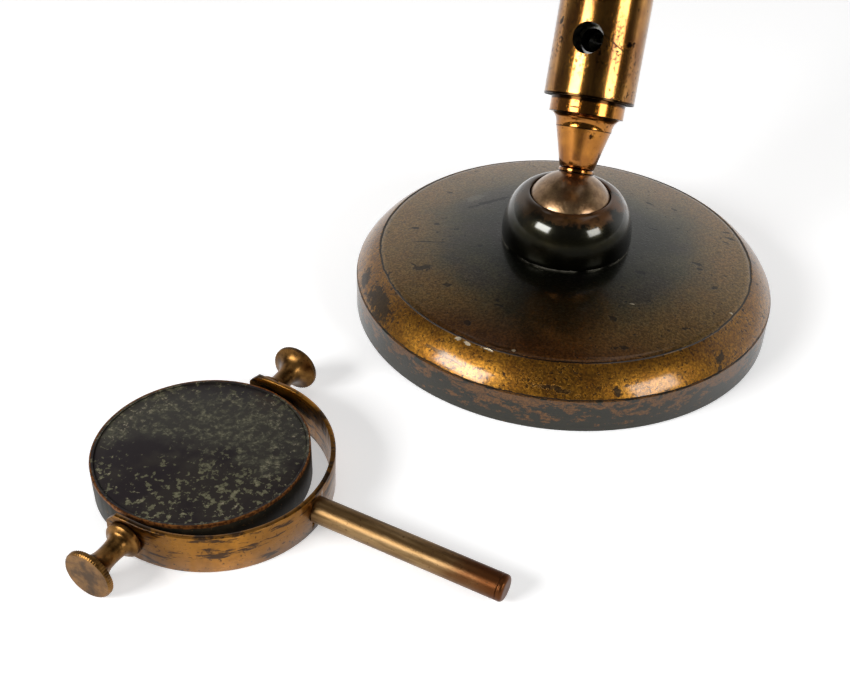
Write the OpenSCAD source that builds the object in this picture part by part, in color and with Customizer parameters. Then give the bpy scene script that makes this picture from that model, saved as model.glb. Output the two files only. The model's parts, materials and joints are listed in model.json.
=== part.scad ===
// Compound microscope on a round foot with a ball joint, drawn with its mirror taken off
// and lying on the table. Origin: centre of the foot's underside. +Z is up, -Y is the front.

/* [Foot] */
// Diameter of the round foot
foot_d = 120; // [112:1:140]
// Height of the straight band round the foot
foot_band_h = 10.3; // [9.5:0.1:12]
// Width of the sloping shoulder above the band
foot_shoulder_w = 6.8; // [6:0.1:8]
// Height of the sloping shoulder
foot_shoulder_h = 7.3; // [6.6:0.1:8]
// Bulge of the shoulder between its two edges
foot_shoulder_bow = 0.6; // [0.2:0.1:1]
// Rise of the domed top from the shoulder to the socket
foot_rise = 4.2; // [3.6:0.1:4.8]
// Bulge of the domed top between its two edges
foot_top_bow = 0.5; // [0.2:0.1:0.8]
// Width of the two lines turned in the foot
foot_line_w = 0.7; // [0.4:0.1:1.2]
// Width of the rim that the foot stands on
foot_rim_w = 5.5; // [4:0.1:8]
// Thickness of the foot's top over the weight
foot_roof = 5.7; // [4.8:0.1:6.6]
// Diameter of the hub inside the foot
foot_hub_d = 46; // [40:1:56]
// Thickness of the plate that closes the foot
plate_t = 1.4; // [1:0.1:2]
// Diameter of the plate's screws
plate_screw_d = 4; // [3:0.1:5]
// Number of the plate's screws
plate_screw_count = 3; // [3:1:6]
// Distance of the plate's screws from the centre
plate_screw_reach = 38; // [34:1:44]
// Depth of the plate's screws
plate_screw_l = 15; // [14:0.1:16]

/* [Ball joint] */
// Diameter of the ball
ball_d = 26.3; // [25.8:0.1:26.8]
// Height of the ball's centre above the foot's top
ball_lift = 7.1; // [6.8:0.1:7.6]
// Diameter of the socket at its widest
socket_d = 37; // [36.4:0.1:38]
// Diameter of the socket where it meets the foot
socket_base_d = 36.2; // [35.4:0.1:36.4]
// Height of the socket's widest part above the foot's top
socket_belly_h = 1.6; // [1:0.1:2.4]
// Height of the socket's round top above its widest part
socket_round_h = 13; // [12.8:0.1:13.4]
// Diameter of the socket's mouth
socket_mouth_d = 22.7; // [22.5:0.1:23.4]
// Diameter of the socket's spigot in the foot
spigot_d = 27.2; // [26:0.1:28]
// Diameter of the cup under the ball
seat_d = 22; // [20:0.1:23]
// Thickness of the cup below the ball
seat_floor_t = 4.7; // [4:0.1:5]
// Height of the cup's rim above its floor
seat_rim_h = 4.3; // [3:0.1:5]
// Height of the dished spring under the cup
seat_spring_h = 2.2; // [1.6:0.1:2.6]
// Thickness of the dished spring
seat_spring_t = 0.8; // [0.5:0.1:1]
// Thickness of the screw plug that sets the stiffness
seat_screw_t = 5.6; // [4.5:0.1:6]

/* [Pillar] */
// Lean of the pillar from upright
lean = 28.5; // [0:0.5:33]
// Turn of the stand about the pillar
turn = -8.2; // [-60:0.1:60]
// Diameter of the neck where it leaves the ball
neck_root_d = 9.9; // [9:0.1:11]
// Diameter of the neck's top
neck_top_d = 15.8; // [14:0.1:17]
// Length of the neck's cone
neck_l = 11; // [9:0.1:13]
// Height of the ring at the neck's root
neck_ring_h = 1.3; // [1:0.1:2]
// Diameter of the neck's tenon in the ball
tenon_d = 8; // [6:0.1:8.6]
// Length of the neck's tenon in the ball
tenon_l = 6; // [5:0.1:8]
// Height of the hollow moulding under the collar
cove_h = 3.8; // [2.6:0.1:4.6]
// Diameter of the collar and of the core in the sleeve
core_d = 20.9; // [19.5:0.1:22]
// Height of the collar that shows under the sleeve
collar_h = 4.4; // [3:0.1:6]
// Outer diameter of the sleeve
sleeve_d = 25.4; // [24.6:0.1:27]
// Length of the sleeve
sleeve_l = 51.3; // [48:0.1:60]
// Height of the mirror's socket above the sleeve's lower end
peg_socket_h = 15.5; // [12:0.1:20]
// Diameter of the hole in the sleeve round the mirror's socket
peg_mouth_d = 8.6; // [8:0.1:10]
// Depth of the wide mouth of the mirror's socket
peg_mouth_l = 5.7; // [4:0.1:7]
// Depth of the mirror's socket from the sleeve's surface
peg_socket_l = 14; // [11:0.1:16]

/* [Mirror] */
// Place of the mirror's pivot on the table, to the left of the foot's centre
mirror_left = 67; // [60:1:90]
// Place of the mirror's pivot on the table, in front of the foot's centre
mirror_front = 103.6; // [98:0.1:130]
// Direction of the mirror's stem on the table
mirror_turn = -11; // [-40:1:0]
// Tilt of the mirror in its fork
mirror_tilt = 2.3; // [0:0.1:3]
// Diameter of the mirror's cell
cell_d = 52.6; // [46:0.1:54]
// Thickness of the cell in front of the pivot
cell_face_t = 4; // [3.4:0.1:4.2]
// Thickness of the cell behind the pivot
cell_back_t = 4.8; // [4.4:0.1:5]
// Thickness of the cell's wall
cell_wall = 0.9; // [0.7:0.1:1.6]
// Half thickness of the web between the two glasses
cell_web = 1.5; // [1.3:0.1:1.7]
// Depth of the flat glass below the cell's edge
glass_inset = 0.3; // [0.2:0.1:0.5]
// Radius of curvature of the hollow glass
hollow_r = 170; // [160:5:240]
// Outer radius of the fork's bend
fork_r = 29.2; // [28.9:0.1:31]
// Thickness of the fork's band
fork_t = 1.2; // [1:0.1:1.5]
// Width of the fork's band
fork_w = 10.8; // [10:0.1:11.6]
// Distance of the bend's centre from the pivot
fork_bend = 3.4; // [2:0.1:6]
// Length of the fork's arms beyond the pivot
fork_end = 5.2; // [4.6:0.1:7]
// Clipped corners of the fork's arms
fork_clip = 2.4; // [1.5:0.1:3]
// Diameter of the mirror's stem
peg_d = 6.4; // [6:0.1:7]
// Distance of the stem's end from the pivot
peg_reach = 81; // [76:0.1:90]
// Rounding of the stem's end
peg_round = 0.9; // [0.5:0.1:1.5]
// Diameter of the pivot screws' heads
pivot_head_d = 12.4; // [12:0.1:14]
// Thickness of the pivot screws' milled rims
pivot_rim_t = 1.6; // [1.2:0.1:2.4]
// Distance of the pivot screws' faces from the fork
pivot_head_l = 13.4; // [11:0.1:16]
// Diameter of the pivot screws' shoulders
pivot_shoulder_d = 9; // [8:0.1:9.6]
// Diameter of the pivot screws' necks
pivot_neck_d = 5; // [4:0.1:6]
// Diameter of the pivot screws' threads
pivot_d = 3.2; // [2.6:0.1:4]

/* [Stage] */
// Thickness of the stage
stage_t = 4; // [3.5:0.1:5]
// Width of the stage
stage_w = 84; // [76:1:96]
// Length of the stage in front of the optical axis
stage_front = 38; // [32:1:44]
// Length of the wide stage behind the optical axis
stage_back = 38; // [34:1:44]
// Rounding of the stage's corners
stage_corner = 6; // [4:0.5:8]
// Width of the stage's neck
stage_neck_w = 44; // [44:1:56]
// Diameter of the opening in the stage
stage_hole_d = 24; // [18:1:26]
// Diameter of the flange under the stage
flange_d = 44; // [42:1:44]
// Thickness of the flange under the stage
flange_t = 4; // [3.5:0.1:6]
// Width of the hollow moulding under the flange
flange_cove = 5; // [3:0.1:6]
// Diameter of the tenon that carries the stage
stage_tenon_d = 12; // [10:0.1:13]
// Diameter of the wheel of stops
wheel_d = 62; // [60:1:66]
// Thickness of the wheel of stops
wheel_t = 2.4; // [2:0.1:3]
// Gap between the stage and the wheel of stops
wheel_gap = 0.8; // [0.5:0.1:1.2]
// Distance from the wheel's pivot to the optical axis
wheel_reach = 23.4; // [22:0.1:24]
// Diameter of the largest stop
stop_max_d = 12; // [8:0.5:13]
// Diameter of the smallest stop
stop_min_d = 1.6; // [1:0.2:3]
// Number of stops
stop_count = 5; // [4:1:6]
// Gap between the wheel and its screw's head
wheel_play = 0.3; // [0.1:0.1:0.5]
// Diameter of the wheel's pivot screw
wheel_screw_d = 5; // [4:0.1:6]
// Distance of the clips' posts to each side
clip_side = 31; // [28:0.5:34]
// Distance of the clips' posts behind the optical axis
clip_back = 28; // [24:0.5:30]
// Diameter of the clips' posts
clip_post_d = 5; // [4:0.1:6]
// Length of the clips' springs
clip_l = 44; // [38:1:48]
// Width of the clips' springs
clip_w = 7; // [6:0.1:9]
// Thickness of the clips' springs
clip_t = 0.6; // [0.5:0.1:0.9]
// Height that the clips leave for a slide
clip_slide_h = 1.1; // [1:0.1:2]
// Height of the clips' springs over the stage at the posts
clip_h = 3.4; // [3:0.1:4.4]

/* [Arm and fine focus] */
// Thickness of the guide bar's flange
post_flange_t = 5; // [4.5:0.1:6]
// Diameter of the guide bar's flange
post_flange_d = 38; // [37:0.5:41]
// Circle round the three corners of the guide bar
bar_round_d = 19; // [18:0.1:19.6]
// Diameter across the guide bar's rounded corners
bar_d = 17; // [16:0.1:17.6]
// Length of the guide bar above its flange
bar_l = 73; // [66:0.5:80]
// Diameter of the screws that hold the guide bar
column_screw_d = 3.4; // [3:0.1:4]
// Number of the screws that hold the guide bar
column_screw_count = 4; // [3:1:6]
// Distance of the guide bar's screws from the pillar's axis
column_screw_reach = 15; // [14.5:0.1:15.6]
// Gap between the guide bar's flange and the arm
arm_gap = 2.5; // [2:0.1:4]
// Diameter of the arm's barrel
barrel_d = 25.4; // [24.6:0.1:27]
// Length of the barrel
barrel_l = 88.5; // [86:0.5:96]
// Length of the wide bore at the barrel's foot
barrel_relief_l = 42; // [30:1:50]
// Height of the cap on the barrel
cap_t = 4; // [3:0.1:6]
// Length of the cap's spigot
cap_spigot_l = 3; // [2:0.1:4]
// Diameter of the cap's spigot
cap_spigot_d = 20; // [19.6:0.1:21]
// Height of the arm where it meets the body
arm_h = 22; // [18:0.5:24]
// Width of the arm
arm_w = 13; // [10:0.5:14]
// Thickness of the arm's pad
pad_t = 5; // [4:0.1:7]
// Diameter of the screws in the arm's pad
pad_screw_d = 3; // [2.4:0.1:3.4]
// Distance of the pad's screws from the pad's edges
pad_screw_edge = 3.6; // [3.3:0.1:4]
// Diameter of the fine focus screw
fine_d = 5; // [4:0.1:5.4]
// Length of the fine focus screw in the guide bar
fine_l = 20; // [14:0.5:26]
// Diameter of the fine focus head
fine_head_d = 26; // [22:0.5:30]
// Height of the fine focus head
fine_head_h = 10; // [8:0.5:14]
// Wire diameter of the fine focus spring
spring_wire_d = 1; // [0.8:0.1:1.1]
// Turns of the fine focus spring
spring_turns = 7; // [5:1:9]

/* [Body and coarse focus] */
// Outer diameter of the body tube
body_d = 31.8; // [31:0.1:33]
// Wall of the body tube
body_wall = 1.2; // [1:0.1:1.5]
// Length of the body tube
body_l = 109; // [104:0.5:120]
// Height of the objective's front above the stage
working_h = 10; // [9.4:0.1:14]
// Wall of the jacket round the body tube
jacket_wall = 2; // [1.6:0.1:3]
// Length of the jacket
jacket_l = 60; // [56:0.5:66]
// Width of the pinion box
box_w = 26; // [25:0.5:30]
// Height of the pinion box
box_h = 26; // [25:0.5:30]
// Tooth size of the rack and pinion
tooth = 0.6; // [0.56:0.01:0.62]
// Teeth of the pinion
pinion_teeth = 14; // [14:1:15]
// Width of the pinion
pinion_w = 6; // [5:0.1:7]
// Diameter of the pinion's shaft
pinion_shaft_d = 5; // [4:0.1:5.4]
// Width of the rack
rack_w = 5; // [4:0.1:6]
// Height of the rack's pitch line above the body tube
rack_h = 2.4; // [2.2:0.1:2.8]
// Length of the rack
rack_l = 53; // [52:0.5:58]
// Diameter of the milled heads
head_d = 30; // [24:0.5:32]
// Thickness of the milled heads
head_t = 8; // [6:0.5:11]
// Gap between the jacket or its box and the milled heads
head_gap = 1.5; // [1:0.1:3]

/* [Draw tube and eyepiece] */
// Outer diameter of the draw tube
draw_d = 28; // [27.6:0.1:28.2]
// Wall of the draw tube
draw_wall = 1.15; // [1:0.05:1.3]
// Length of the draw tube
draw_l = 82; // [78:0.5:90]
// Length of the draw tube that shows above the body
draw_out = 12; // [8:0.5:20]
// Length of the lined bush at the top of the body tube
bush_l = 25; // [18:0.5:30]
// Wall of the eyepiece's tube
eye_wall = 1; // [0.8:0.05:1.2]
// Length of the eyepiece's tube
eye_l = 38; // [34:0.5:44]
// Diameter of the eyepiece's cap
eye_cap_d = 31; // [30:0.5:34]
// Height of the eyepiece's cap
eye_cap_h = 10; // [8:0.5:14]
// Diameter of the eyepiece's opening
eye_hole_d = 8; // [6:0.5:10]
// Diameter of the eye lens
eye_lens_d = 13; // [11:0.5:15]
// Diameter of the field stop
field_stop_d = 14; // [10:0.5:18]

/* [Nosepiece and objective] */
// Height of the nosepiece's cone
nose_h = 10; // [8:0.5:12]
// Length of the nosepiece's spigot in the body tube
nose_spigot_l = 8; // [6:0.5:12]
// Diameter of the nosepiece's lower end
nose_d = 26; // [25:0.5:29]
// Diameter of the objective's thread
thread_d = 20; // [19:0.1:20.4]
// Length of the objective's thread
thread_l = 5; // [4:0.1:6]
// Diameter of the objective's milled ring
objective_d = 24; // [22:0.5:26]
// Height of the objective's milled ring
objective_ring_h = 9; // [7:0.5:12]
// Height of the objective's barrel
objective_barrel_h = 10; // [8:0.5:12]
// Diameter of the objective's barrel
objective_barrel_d = 18; // [16:0.5:20]
// Height of the objective's front cone
objective_cone_h = 10; // [8:0.5:12]
// Diameter of the objective's front
objective_front_d = 9; // [8:0.5:12]

/* [Fits] */
// Running clearance on the radius of shafts and tubes
fit = 0.05; // [0.03:0.01:0.07]
// Gap on the radius between fixed pieces that fit in one another
seat_gap = 0.05; // [0.02:0.01:0.08]

/* [Hidden] */
$fn = 96;

// Colours of the finishes
bright_brass = "#c08a34";
aged_brass = "#7d5a2b";
dark_bronze = "#2b2a1c";
worn_bronze = "#8a6a4a";
iron = "#4a4a4c";
steel = "#8f9296";
blued_steel = "#33363d";
clear_glass = "#cfe0e4";
dull_mirror = "#3a3838";

// A little more than any cut needs
cut = 1;

// The foot: its levels above the table, and its radii
foot_r = foot_d / 2;
shoulder_x = foot_r - foot_shoulder_w;
foot_top = foot_band_h + foot_shoulder_h;
foot_crown = foot_top + foot_rise;
pocket_r = foot_r - foot_rim_w;
pocket_top = foot_top - foot_roof;
hub_r = foot_hub_d / 2;
plate_screw_r = plate_screw_d / 2;

// The ball joint, from the ball's centre downwards
ball_r = ball_d / 2;
ball_z = foot_crown + ball_lift;
cavity_r = ball_r + fit;
seat_r = seat_d / 2;
seat_z = ball_z - ball_r - seat_floor_t;
seat_h = seat_floor_t + seat_rim_h;
seat_bore_r = seat_r + fit;
spigot_r = spigot_d / 2;
spigot_floor = seat_z - 1;
spring_z = seat_z - seat_spring_h;
screw_z = spring_z - seat_screw_t;
spring_hole_r = seat_r / 2;
slot_w = 2.2;
slot_h = 2;
socket_lip = 0.35;

// The pillar, as heights above the ball's centre along its axis
neck_root_r = neck_root_d / 2;
neck_top_r = neck_top_d / 2;
ball_flat = sqrt(ball_r * ball_r - neck_root_r * neck_root_r);
neck_base = ball_flat + neck_ring_h;
neck_top = neck_base + neck_l;
collar_base = neck_top + cove_h;
sleeve_base = collar_base + collar_h;
sleeve_top = sleeve_base + sleeve_l;
core_r = core_d / 2;
sleeve_r = sleeve_d / 2;
sleeve_bore_r = core_r + seat_gap;
turned_groove = 0.35;
neck_step = 0.15;
neck_lip_h = 0.4;
peg_r = peg_d / 2;
peg_bore_r = peg_r + fit;
peg_height = sleeve_base + peg_socket_h;
optic_reach = sleeve_r + peg_reach - peg_socket_l;

// The stage, in the pillar's frame
stage_tenon_r = stage_tenon_d / 2;
stage_under = sleeve_top + flange_t;
stage_top = stage_under + stage_t;
post_top = stage_top + post_flange_t;
tenon_grip = 0.6 * post_flange_t;
wheel_r = wheel_d / 2;
wheel_top = stage_under - wheel_gap;
wheel_base = wheel_top - wheel_t;
wheel_screw_r = wheel_screw_d / 2;
wheel_thread_r = 0.7 * wheel_screw_r;
wheel_thread_l = 0.75 * stage_t;
wheel_head_r = 2 * wheel_screw_r;
wheel_head_t = 2;
clip_post_r = clip_post_d / 2;
clip_eye_w = 2;
clip_eye_r = clip_post_r + clip_eye_w;
clip_knob_h = 3;

// The arm and the fine focus, in the pillar's frame
barrel_r = barrel_d / 2;
barrel_base = post_top + arm_gap;
barrel_top = barrel_base + barrel_l;
relief_top = barrel_base + barrel_relief_l;
relief_wall = 2.2;
relief_r = barrel_r - relief_wall;
bar_top = post_top + bar_l;
fine_r = fine_d / 2;
cap_spigot_r = cap_spigot_d / 2;
cap_top = barrel_top + cap_t;
fine_head_grip = 0.6 * fine_head_h;
bar_inner_r = bar_round_d / 4;
spring_r = (fine_r + bar_inner_r) / 2;
spring_play = 0.9;
spring_l = barrel_top - cap_spigot_l - bar_top - spring_play;
column_screw_r = column_screw_d / 2;
column_screw_tip = 0.8;
column_screw_end = sleeve_top + column_screw_tip;

// The rack and pinion, behind the optical axis
body_r = body_d / 2;
body_bore_r = body_r - body_wall;
pitch_y = body_r + rack_h;
pinion_r = tooth * pinion_teeth / 2;
pinion_y = pitch_y + pinion_r;
addendum = 0.8 * tooth;
dedendum = tooth;
backlash = 0.12;
pressure_angle = 20;
pinion_play = 0.5;
pinion_bore_r = pinion_r + addendum + pinion_play;
pinion_shaft_r = pinion_shaft_d / 2;
box_wall = 2.3;
box_root = 1.9;
box_back = pinion_y + pinion_bore_r + box_wall;
box_front = body_r - box_root;
box_z = barrel_top - arm_h / 2 - 1;
jacket_bore_r = body_r + fit;
jacket_r = jacket_bore_r + jacket_wall;
rack_play = 0.3;
rack_slot_w = rack_w + 2 * rack_play;
rack_slot_y = pitch_y + addendum + rack_play;
head_x = max(box_w / 2, jacket_r) + head_gap;
head_grip = head_t - 1;
pad_y = optic_reach - box_back;
pad_screw_r = pad_screw_d / 2;
pad_screw_x = box_w / 2 - pad_screw_edge;
pad_screw_z = box_h / 2 - pad_screw_edge;
pad_screw_bite = 6;
pad_screw_l = pad_t + pad_screw_bite;

// The body and its optics, as heights in the pillar's frame
front_z = stage_top + working_h;
barrel_z = front_z + objective_cone_h;
ring_z = barrel_z + objective_barrel_h;
nose_z = ring_z + objective_ring_h;
body_z = nose_z + nose_h;
body_top = body_z + body_l;
rack_z = body_z + 1;
thread_r = thread_d / 2;
objective_bore_r = 5.5;
front_bore_r = 3;
draw_r = draw_d / 2;
draw_bore_r = draw_r - draw_wall;
draw_top = body_top + draw_out;
draw_base = draw_top - draw_l;
collar_w = 2.1;
collar_r = body_r + collar_w;
collar_l = 8;
collar_lip = 1.2;
eye_r = draw_bore_r - fit;
eye_bore_r = eye_r - eye_wall;
eye_base = draw_top - eye_l;
eye_screw_l = 4;
cap_bore_top = draw_top + eye_screw_l + 0.2;
eye_ledge_r = eye_bore_r - 1;
field_lens_r = eye_bore_r - seat_gap;
field_curve_r = 28;
field_edge_t = 1;
field_ledge = 3.4;
field_sag = field_curve_r - sqrt(pow(field_curve_r, 2) - pow(field_lens_r, 2));
ledge_sag = field_curve_r - sqrt(pow(field_curve_r, 2) - pow(eye_ledge_r, 2));
field_top = eye_base + field_ledge + seat_gap + field_edge_t + field_sag - ledge_sag;
eye_lens_r = eye_lens_d / 2;
eye_hole_r = eye_hole_d / 2;
eye_rim_t = 1.2;
cap_dish = 1.6;

// The mirror, in its fork's frame: +X along the stem, +Y towards the rear pivot screw
cell_r = cell_d / 2;
glass_r = cell_r - cell_wall - seat_gap;
pivot_head_r = pivot_head_d / 2;
pivot_r = pivot_d / 2;
pivot_gap = fork_r - cell_r;
pivot_point_l = 2;
pivot_point_r = 0.75 * pivot_r;
fork_foot = [fork_bend + fork_r, fork_w / 2];
fork_pitch = asin(pivot_head_r / norm(fork_foot)) - atan2(fork_foot[1], fork_foot[0]);
stem_root = fork_bend + fork_r;
stem_tenon_r = 2;

// Points on an arc of an ellipse, from one angle to another
function arc(centre, radii, from, to, steps) = [
  for (i = [0:steps]) let (a = from + (to - from) * i / steps)
    [centre[0] + radii[0] * cos(a), centre[1] + radii[1] * sin(a)]
];

// Points on a shallow bow from one place to another, bulging to the right of the way
function bow(from, to, rise, steps) =
  let (way = to - from, out = [way[1], -way[0]] / norm(way))
    [for (i = [0:steps]) let (t = i / steps) from + t * way + 4 * rise * t * (1 - t) * out];

// The pillar's own frame: its origin is the ball's centre and +Z runs up the pillar
module on_pillar() {
  translate([0, 0, ball_z]) rotate([-lean, 0, 0]) rotate([0, 0, turn]) children();
}

// The optical axis, which runs beside the pillar
module on_optics() {
  on_pillar() translate([0, -optic_reach, 0]) children();
}

// The mirror's fork, as it lies on the table on two screw heads and its bend
module on_fork() {
  translate([-mirror_left, -mirror_front, pivot_head_r])
    rotate([0, 0, mirror_turn]) rotate([0, fork_pitch, 0]) children();
}

// The mirror in its fork
module in_fork() {
  on_fork() rotate([0, -mirror_tilt, 0]) children();
}

// A tube between two heights
module tube(outer, inner, from, to) {
  difference() {
    translate([0, 0, from]) cylinder(r = outer, h = to - from);
    translate([0, 0, from - cut]) cylinder(r = inner, h = to - from + 2 * cut);
  }
}

// A round bar between two heights
module rod(r, from, to) {
  translate([0, 0, from]) cylinder(r = r, h = to - from);
}

// Copies on a circle
module around(count, reach) {
  for (i = [0:count - 1]) rotate([0, 0, 45 + i * 360 / count]) translate([reach, 0, 0]) children();
}

// A disc with a convex lower face and a flat upper face
module flat_topped_lens(r, curve_r, edge_t, top) {
  sag = curve_r - sqrt(curve_r * curve_r - r * r);
  intersection() {
    rod(r, top - edge_t - sag - cut, top);
    translate([0, 0, top - edge_t - sag + curve_r]) sphere(r = curve_r);
  }
}

// A milled head with a bevelled rim, from z = 0 upwards
module milled_head(r, h) {
  bevel = 0.12 * h;
  rotate_extrude() polygon([
    [0, 0], [r - bevel, 0], [r, bevel], [r, h - bevel], [r - bevel, h], [0.8 * r, h],
    [0.74 * r, h - bevel], [0.4 * r, h - bevel], [0.34 * r, h], [0, h]
  ]);
}

module foot_section() {
  band_edge = [foot_r, foot_band_h];
  top_edge = [shoulder_x, foot_top];
  socket_edge = [socket_base_d / 2, foot_crown];
  difference() {
    polygon(concat(
      [[0, 0], [foot_r, 0]],
      bow(band_edge, top_edge, foot_shoulder_bow, 10),
      bow(top_edge, socket_edge, foot_top_bow, 10),
      [[0, foot_crown]]
    ));
    translate([foot_r, foot_band_h]) circle(r = foot_line_w / 2);
    translate([shoulder_x, foot_top]) circle(r = foot_line_w / 2);
    translate([0, -cut]) square([pocket_r, plate_t + cut]);
    translate([hub_r, plate_t - cut]) square([pocket_r - hub_r, pocket_top - plate_t + cut]);
    translate([0, -cut]) square([seat_bore_r, foot_crown + 2 * cut]);
    translate([0, spigot_floor]) square([spigot_r + seat_gap, foot_crown]);
  }
}

module foot_shell() {
  color(aged_brass) difference() {
    rotate_extrude() foot_section();
    around(plate_screw_count, plate_screw_reach)
      rod(plate_screw_r + seat_gap, pocket_top - cut, plate_screw_l + seat_gap);
  }
}

module foot_weight() {
  color(iron) difference() {
    tube(pocket_r - seat_gap, hub_r + seat_gap, plate_t, pocket_top - seat_gap);
    around(plate_screw_count, plate_screw_reach) rod(plate_screw_r + seat_gap, 0, pocket_top);
  }
}

module foot_plate() {
  color(aged_brass) difference() {
    rod(pocket_r - seat_gap, 0, plate_t);
    around(plate_screw_count, plate_screw_reach) {
      rod(plate_screw_r + seat_gap, -cut, plate_t + cut);
      translate([0, 0, -seat_gap])
        cylinder(r1 = plate_screw_r + plate_t + 2 * seat_gap, r2 = plate_screw_r + seat_gap, h = plate_t);
    }
  }
}

module foot_plate_screws() {
  color(steel) around(plate_screw_count, plate_screw_reach) {
    cylinder(r1 = plate_screw_r + plate_t - seat_gap, r2 = plate_screw_r, h = plate_t - seat_gap);
    rod(plate_screw_r, 0, plate_screw_l);
  }
}

module ball_socket() {
  base_r = socket_base_d / 2;
  wide_r = socket_d / 2;
  round_x = socket_mouth_d / 2 + socket_lip;
  belly_z = foot_crown + socket_belly_h;
  seat_step = ball_z - sqrt(cavity_r * cavity_r - seat_bore_r * seat_bore_r);
  color(dark_bronze) rotate_extrude() difference() {
    union() {
      translate([0, spigot_floor + seat_gap]) square([spigot_r, foot_crown - spigot_floor]);
      polygon(concat(
        [[0, foot_crown], [base_r, foot_crown]],
        arc([round_x, belly_z], [wide_r - round_x, socket_round_h], 0, 90, 16),
        [[0, belly_z + socket_round_h]]
      ));
    }
    translate([0, ball_z]) circle(r = cavity_r);
    square([seat_bore_r, seat_step]);
    square([socket_mouth_d / 2, ball_z + socket_d]);
    translate([-2 * wide_r, 0]) square([2 * wide_r, 2 * ball_z]);
  }
}

module ball_seat() {
  color(worn_bronze) difference() {
    rod(seat_r, seat_z, seat_z + seat_h);
    translate([0, 0, ball_z]) sphere(r = cavity_r);
  }
}

module seat_spring() {
  outer_r = seat_r - 1;
  color(steel) rotate_extrude() polygon([
    [spring_hole_r, seat_z - seat_spring_t], [outer_r, spring_z], [outer_r, spring_z + seat_spring_t],
    [spring_hole_r, seat_z]
  ]);
}

module seat_screw() {
  color(aged_brass) difference() {
    rod(seat_r, screw_z, spring_z);
    translate([-slot_w / 2, -seat_r - cut, screw_z - cut]) cube([slot_w, seat_d + 2 * cut, slot_h + cut]);
  }
}

module ball() {
  color(worn_bronze) on_pillar() difference() {
    sphere(r = ball_r);
    rod(ball_r, ball_flat, ball_d);
    rod(tenon_d / 2 + fit, ball_flat - tenon_l - 0.3, ball_d);
  }
}

module neck_section() {
  cove_r = [core_r - neck_top_r, cove_h - neck_lip_h];
  polygon(concat(
    [
      [0, ball_flat - tenon_l], [tenon_d / 2, ball_flat - tenon_l], [tenon_d / 2, ball_flat],
      [neck_root_r, ball_flat], [neck_root_r, neck_base - turned_groove],
      [neck_root_r - turned_groove, neck_base], [neck_root_r, neck_base + turned_groove],
      [neck_top_r - neck_step, neck_top], [neck_top_r, neck_top]
    ],
    arc([core_r, neck_top + neck_lip_h], cove_r, 180, 90, 10),
    [
      [core_r, sleeve_top], [stage_tenon_r, sleeve_top],
      [stage_tenon_r, stage_top + tenon_grip - seat_gap], [0, stage_top + tenon_grip - seat_gap]
    ]
  ));
}

// The mirror's socket runs in from the front of the sleeve, with a wide mouth and a drilled end
module peg_hole() {
  translate([0, 0, peg_height]) rotate([90, 0, 0]) {
    rod(peg_mouth_d / 2, sleeve_r - peg_mouth_l, sleeve_r + cut);
    rod(peg_bore_r, sleeve_r - peg_socket_l, sleeve_r + cut);
    translate([0, 0, sleeve_r - peg_socket_l - peg_bore_r / 2])
      cylinder(r1 = 0, r2 = peg_bore_r, h = peg_bore_r / 2);
  }
}

module pillar_neck() {
  color(bright_brass) on_pillar() difference() {
    rotate_extrude() neck_section();
    peg_hole();
  }
}

module pillar_sleeve() {
  mouth_bevel = 0.4;
  color(bright_brass) on_pillar() difference() {
    tube(sleeve_r, sleeve_bore_r, sleeve_base, sleeve_top);
    translate([0, 0, sleeve_base - seat_gap])
      cylinder(r1 = sleeve_bore_r + mouth_bevel, r2 = sleeve_bore_r, h = mouth_bevel);
    peg_hole();
  }
}

module stage_flange() {
  rim_r = flange_d / 2;
  cove_r = [flange_cove, 0.6 * flange_t];
  color(bright_brass) on_pillar() difference() {
    rotate_extrude() polygon(concat(
      [[stage_tenon_r + seat_gap, sleeve_top], [rim_r - flange_cove, sleeve_top]],
      arc([rim_r, sleeve_top], cove_r, 180, 90, 8),
      [[rim_r, stage_under], [stage_tenon_r + seat_gap, stage_under]]
    ));
    around(column_screw_count, column_screw_reach)
      rod(column_screw_r + seat_gap, column_screw_end - seat_gap, stage_top);
  }
}

module stage_outline() {
  x = stage_w / 2 - stage_corner;
  front = -optic_reach - stage_front;
  back = -optic_reach + stage_back;
  neck_r = stage_neck_w / 2;
  for (side = [-x, x], y = [front + stage_corner, back - stage_corner])
    translate([side, y]) circle(r = stage_corner);
  translate([-x, front]) square([2 * x, back - front]);
  translate([-stage_w / 2, front + stage_corner]) square([stage_w, back - front - 2 * stage_corner]);
  translate([-neck_r, back - cut]) square([stage_neck_w, cut - back]);
  circle(r = neck_r);
}

module stage_plate() {
  color(blued_steel) on_pillar() difference() {
    translate([0, 0, stage_under]) linear_extrude(stage_t) stage_outline();
    rod(stage_tenon_r + seat_gap, stage_under - cut, stage_top + cut);
    around(column_screw_count, column_screw_reach)
      rod(column_screw_r + seat_gap, stage_under - cut, stage_top + cut);
    translate([0, -optic_reach, 0]) {
      rod(stage_hole_d / 2, stage_under - cut, stage_top + cut);
      for (side = [-1, 1]) translate([side * clip_side, clip_back, 0])
        rod(clip_post_r + fit, stage_under - cut, stage_top + cut);
      translate([wheel_reach, 0, 0])
        rod(wheel_thread_r + seat_gap, stage_under - cut, stage_under + wheel_thread_l + seat_gap);
    }
  }
}

// The stops grow in equal steps and lie on a circle through the optical axis
module wheel_of_stops() {
  stop_step = (stop_max_d - stop_min_d) / (stop_count - 1);
  color(aged_brass) on_optics() translate([wheel_reach, 0, 0]) difference() {
    rod(wheel_r, wheel_base, wheel_top);
    rod(wheel_screw_r + fit, wheel_base - cut, wheel_top + cut);
    for (i = [0:stop_count - 1]) rotate([0, 0, 180 + i * 360 / stop_count]) translate([wheel_reach, 0, 0])
      rod((stop_max_d - i * stop_step) / 2, wheel_base - cut, wheel_top + cut);
  }
}

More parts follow.
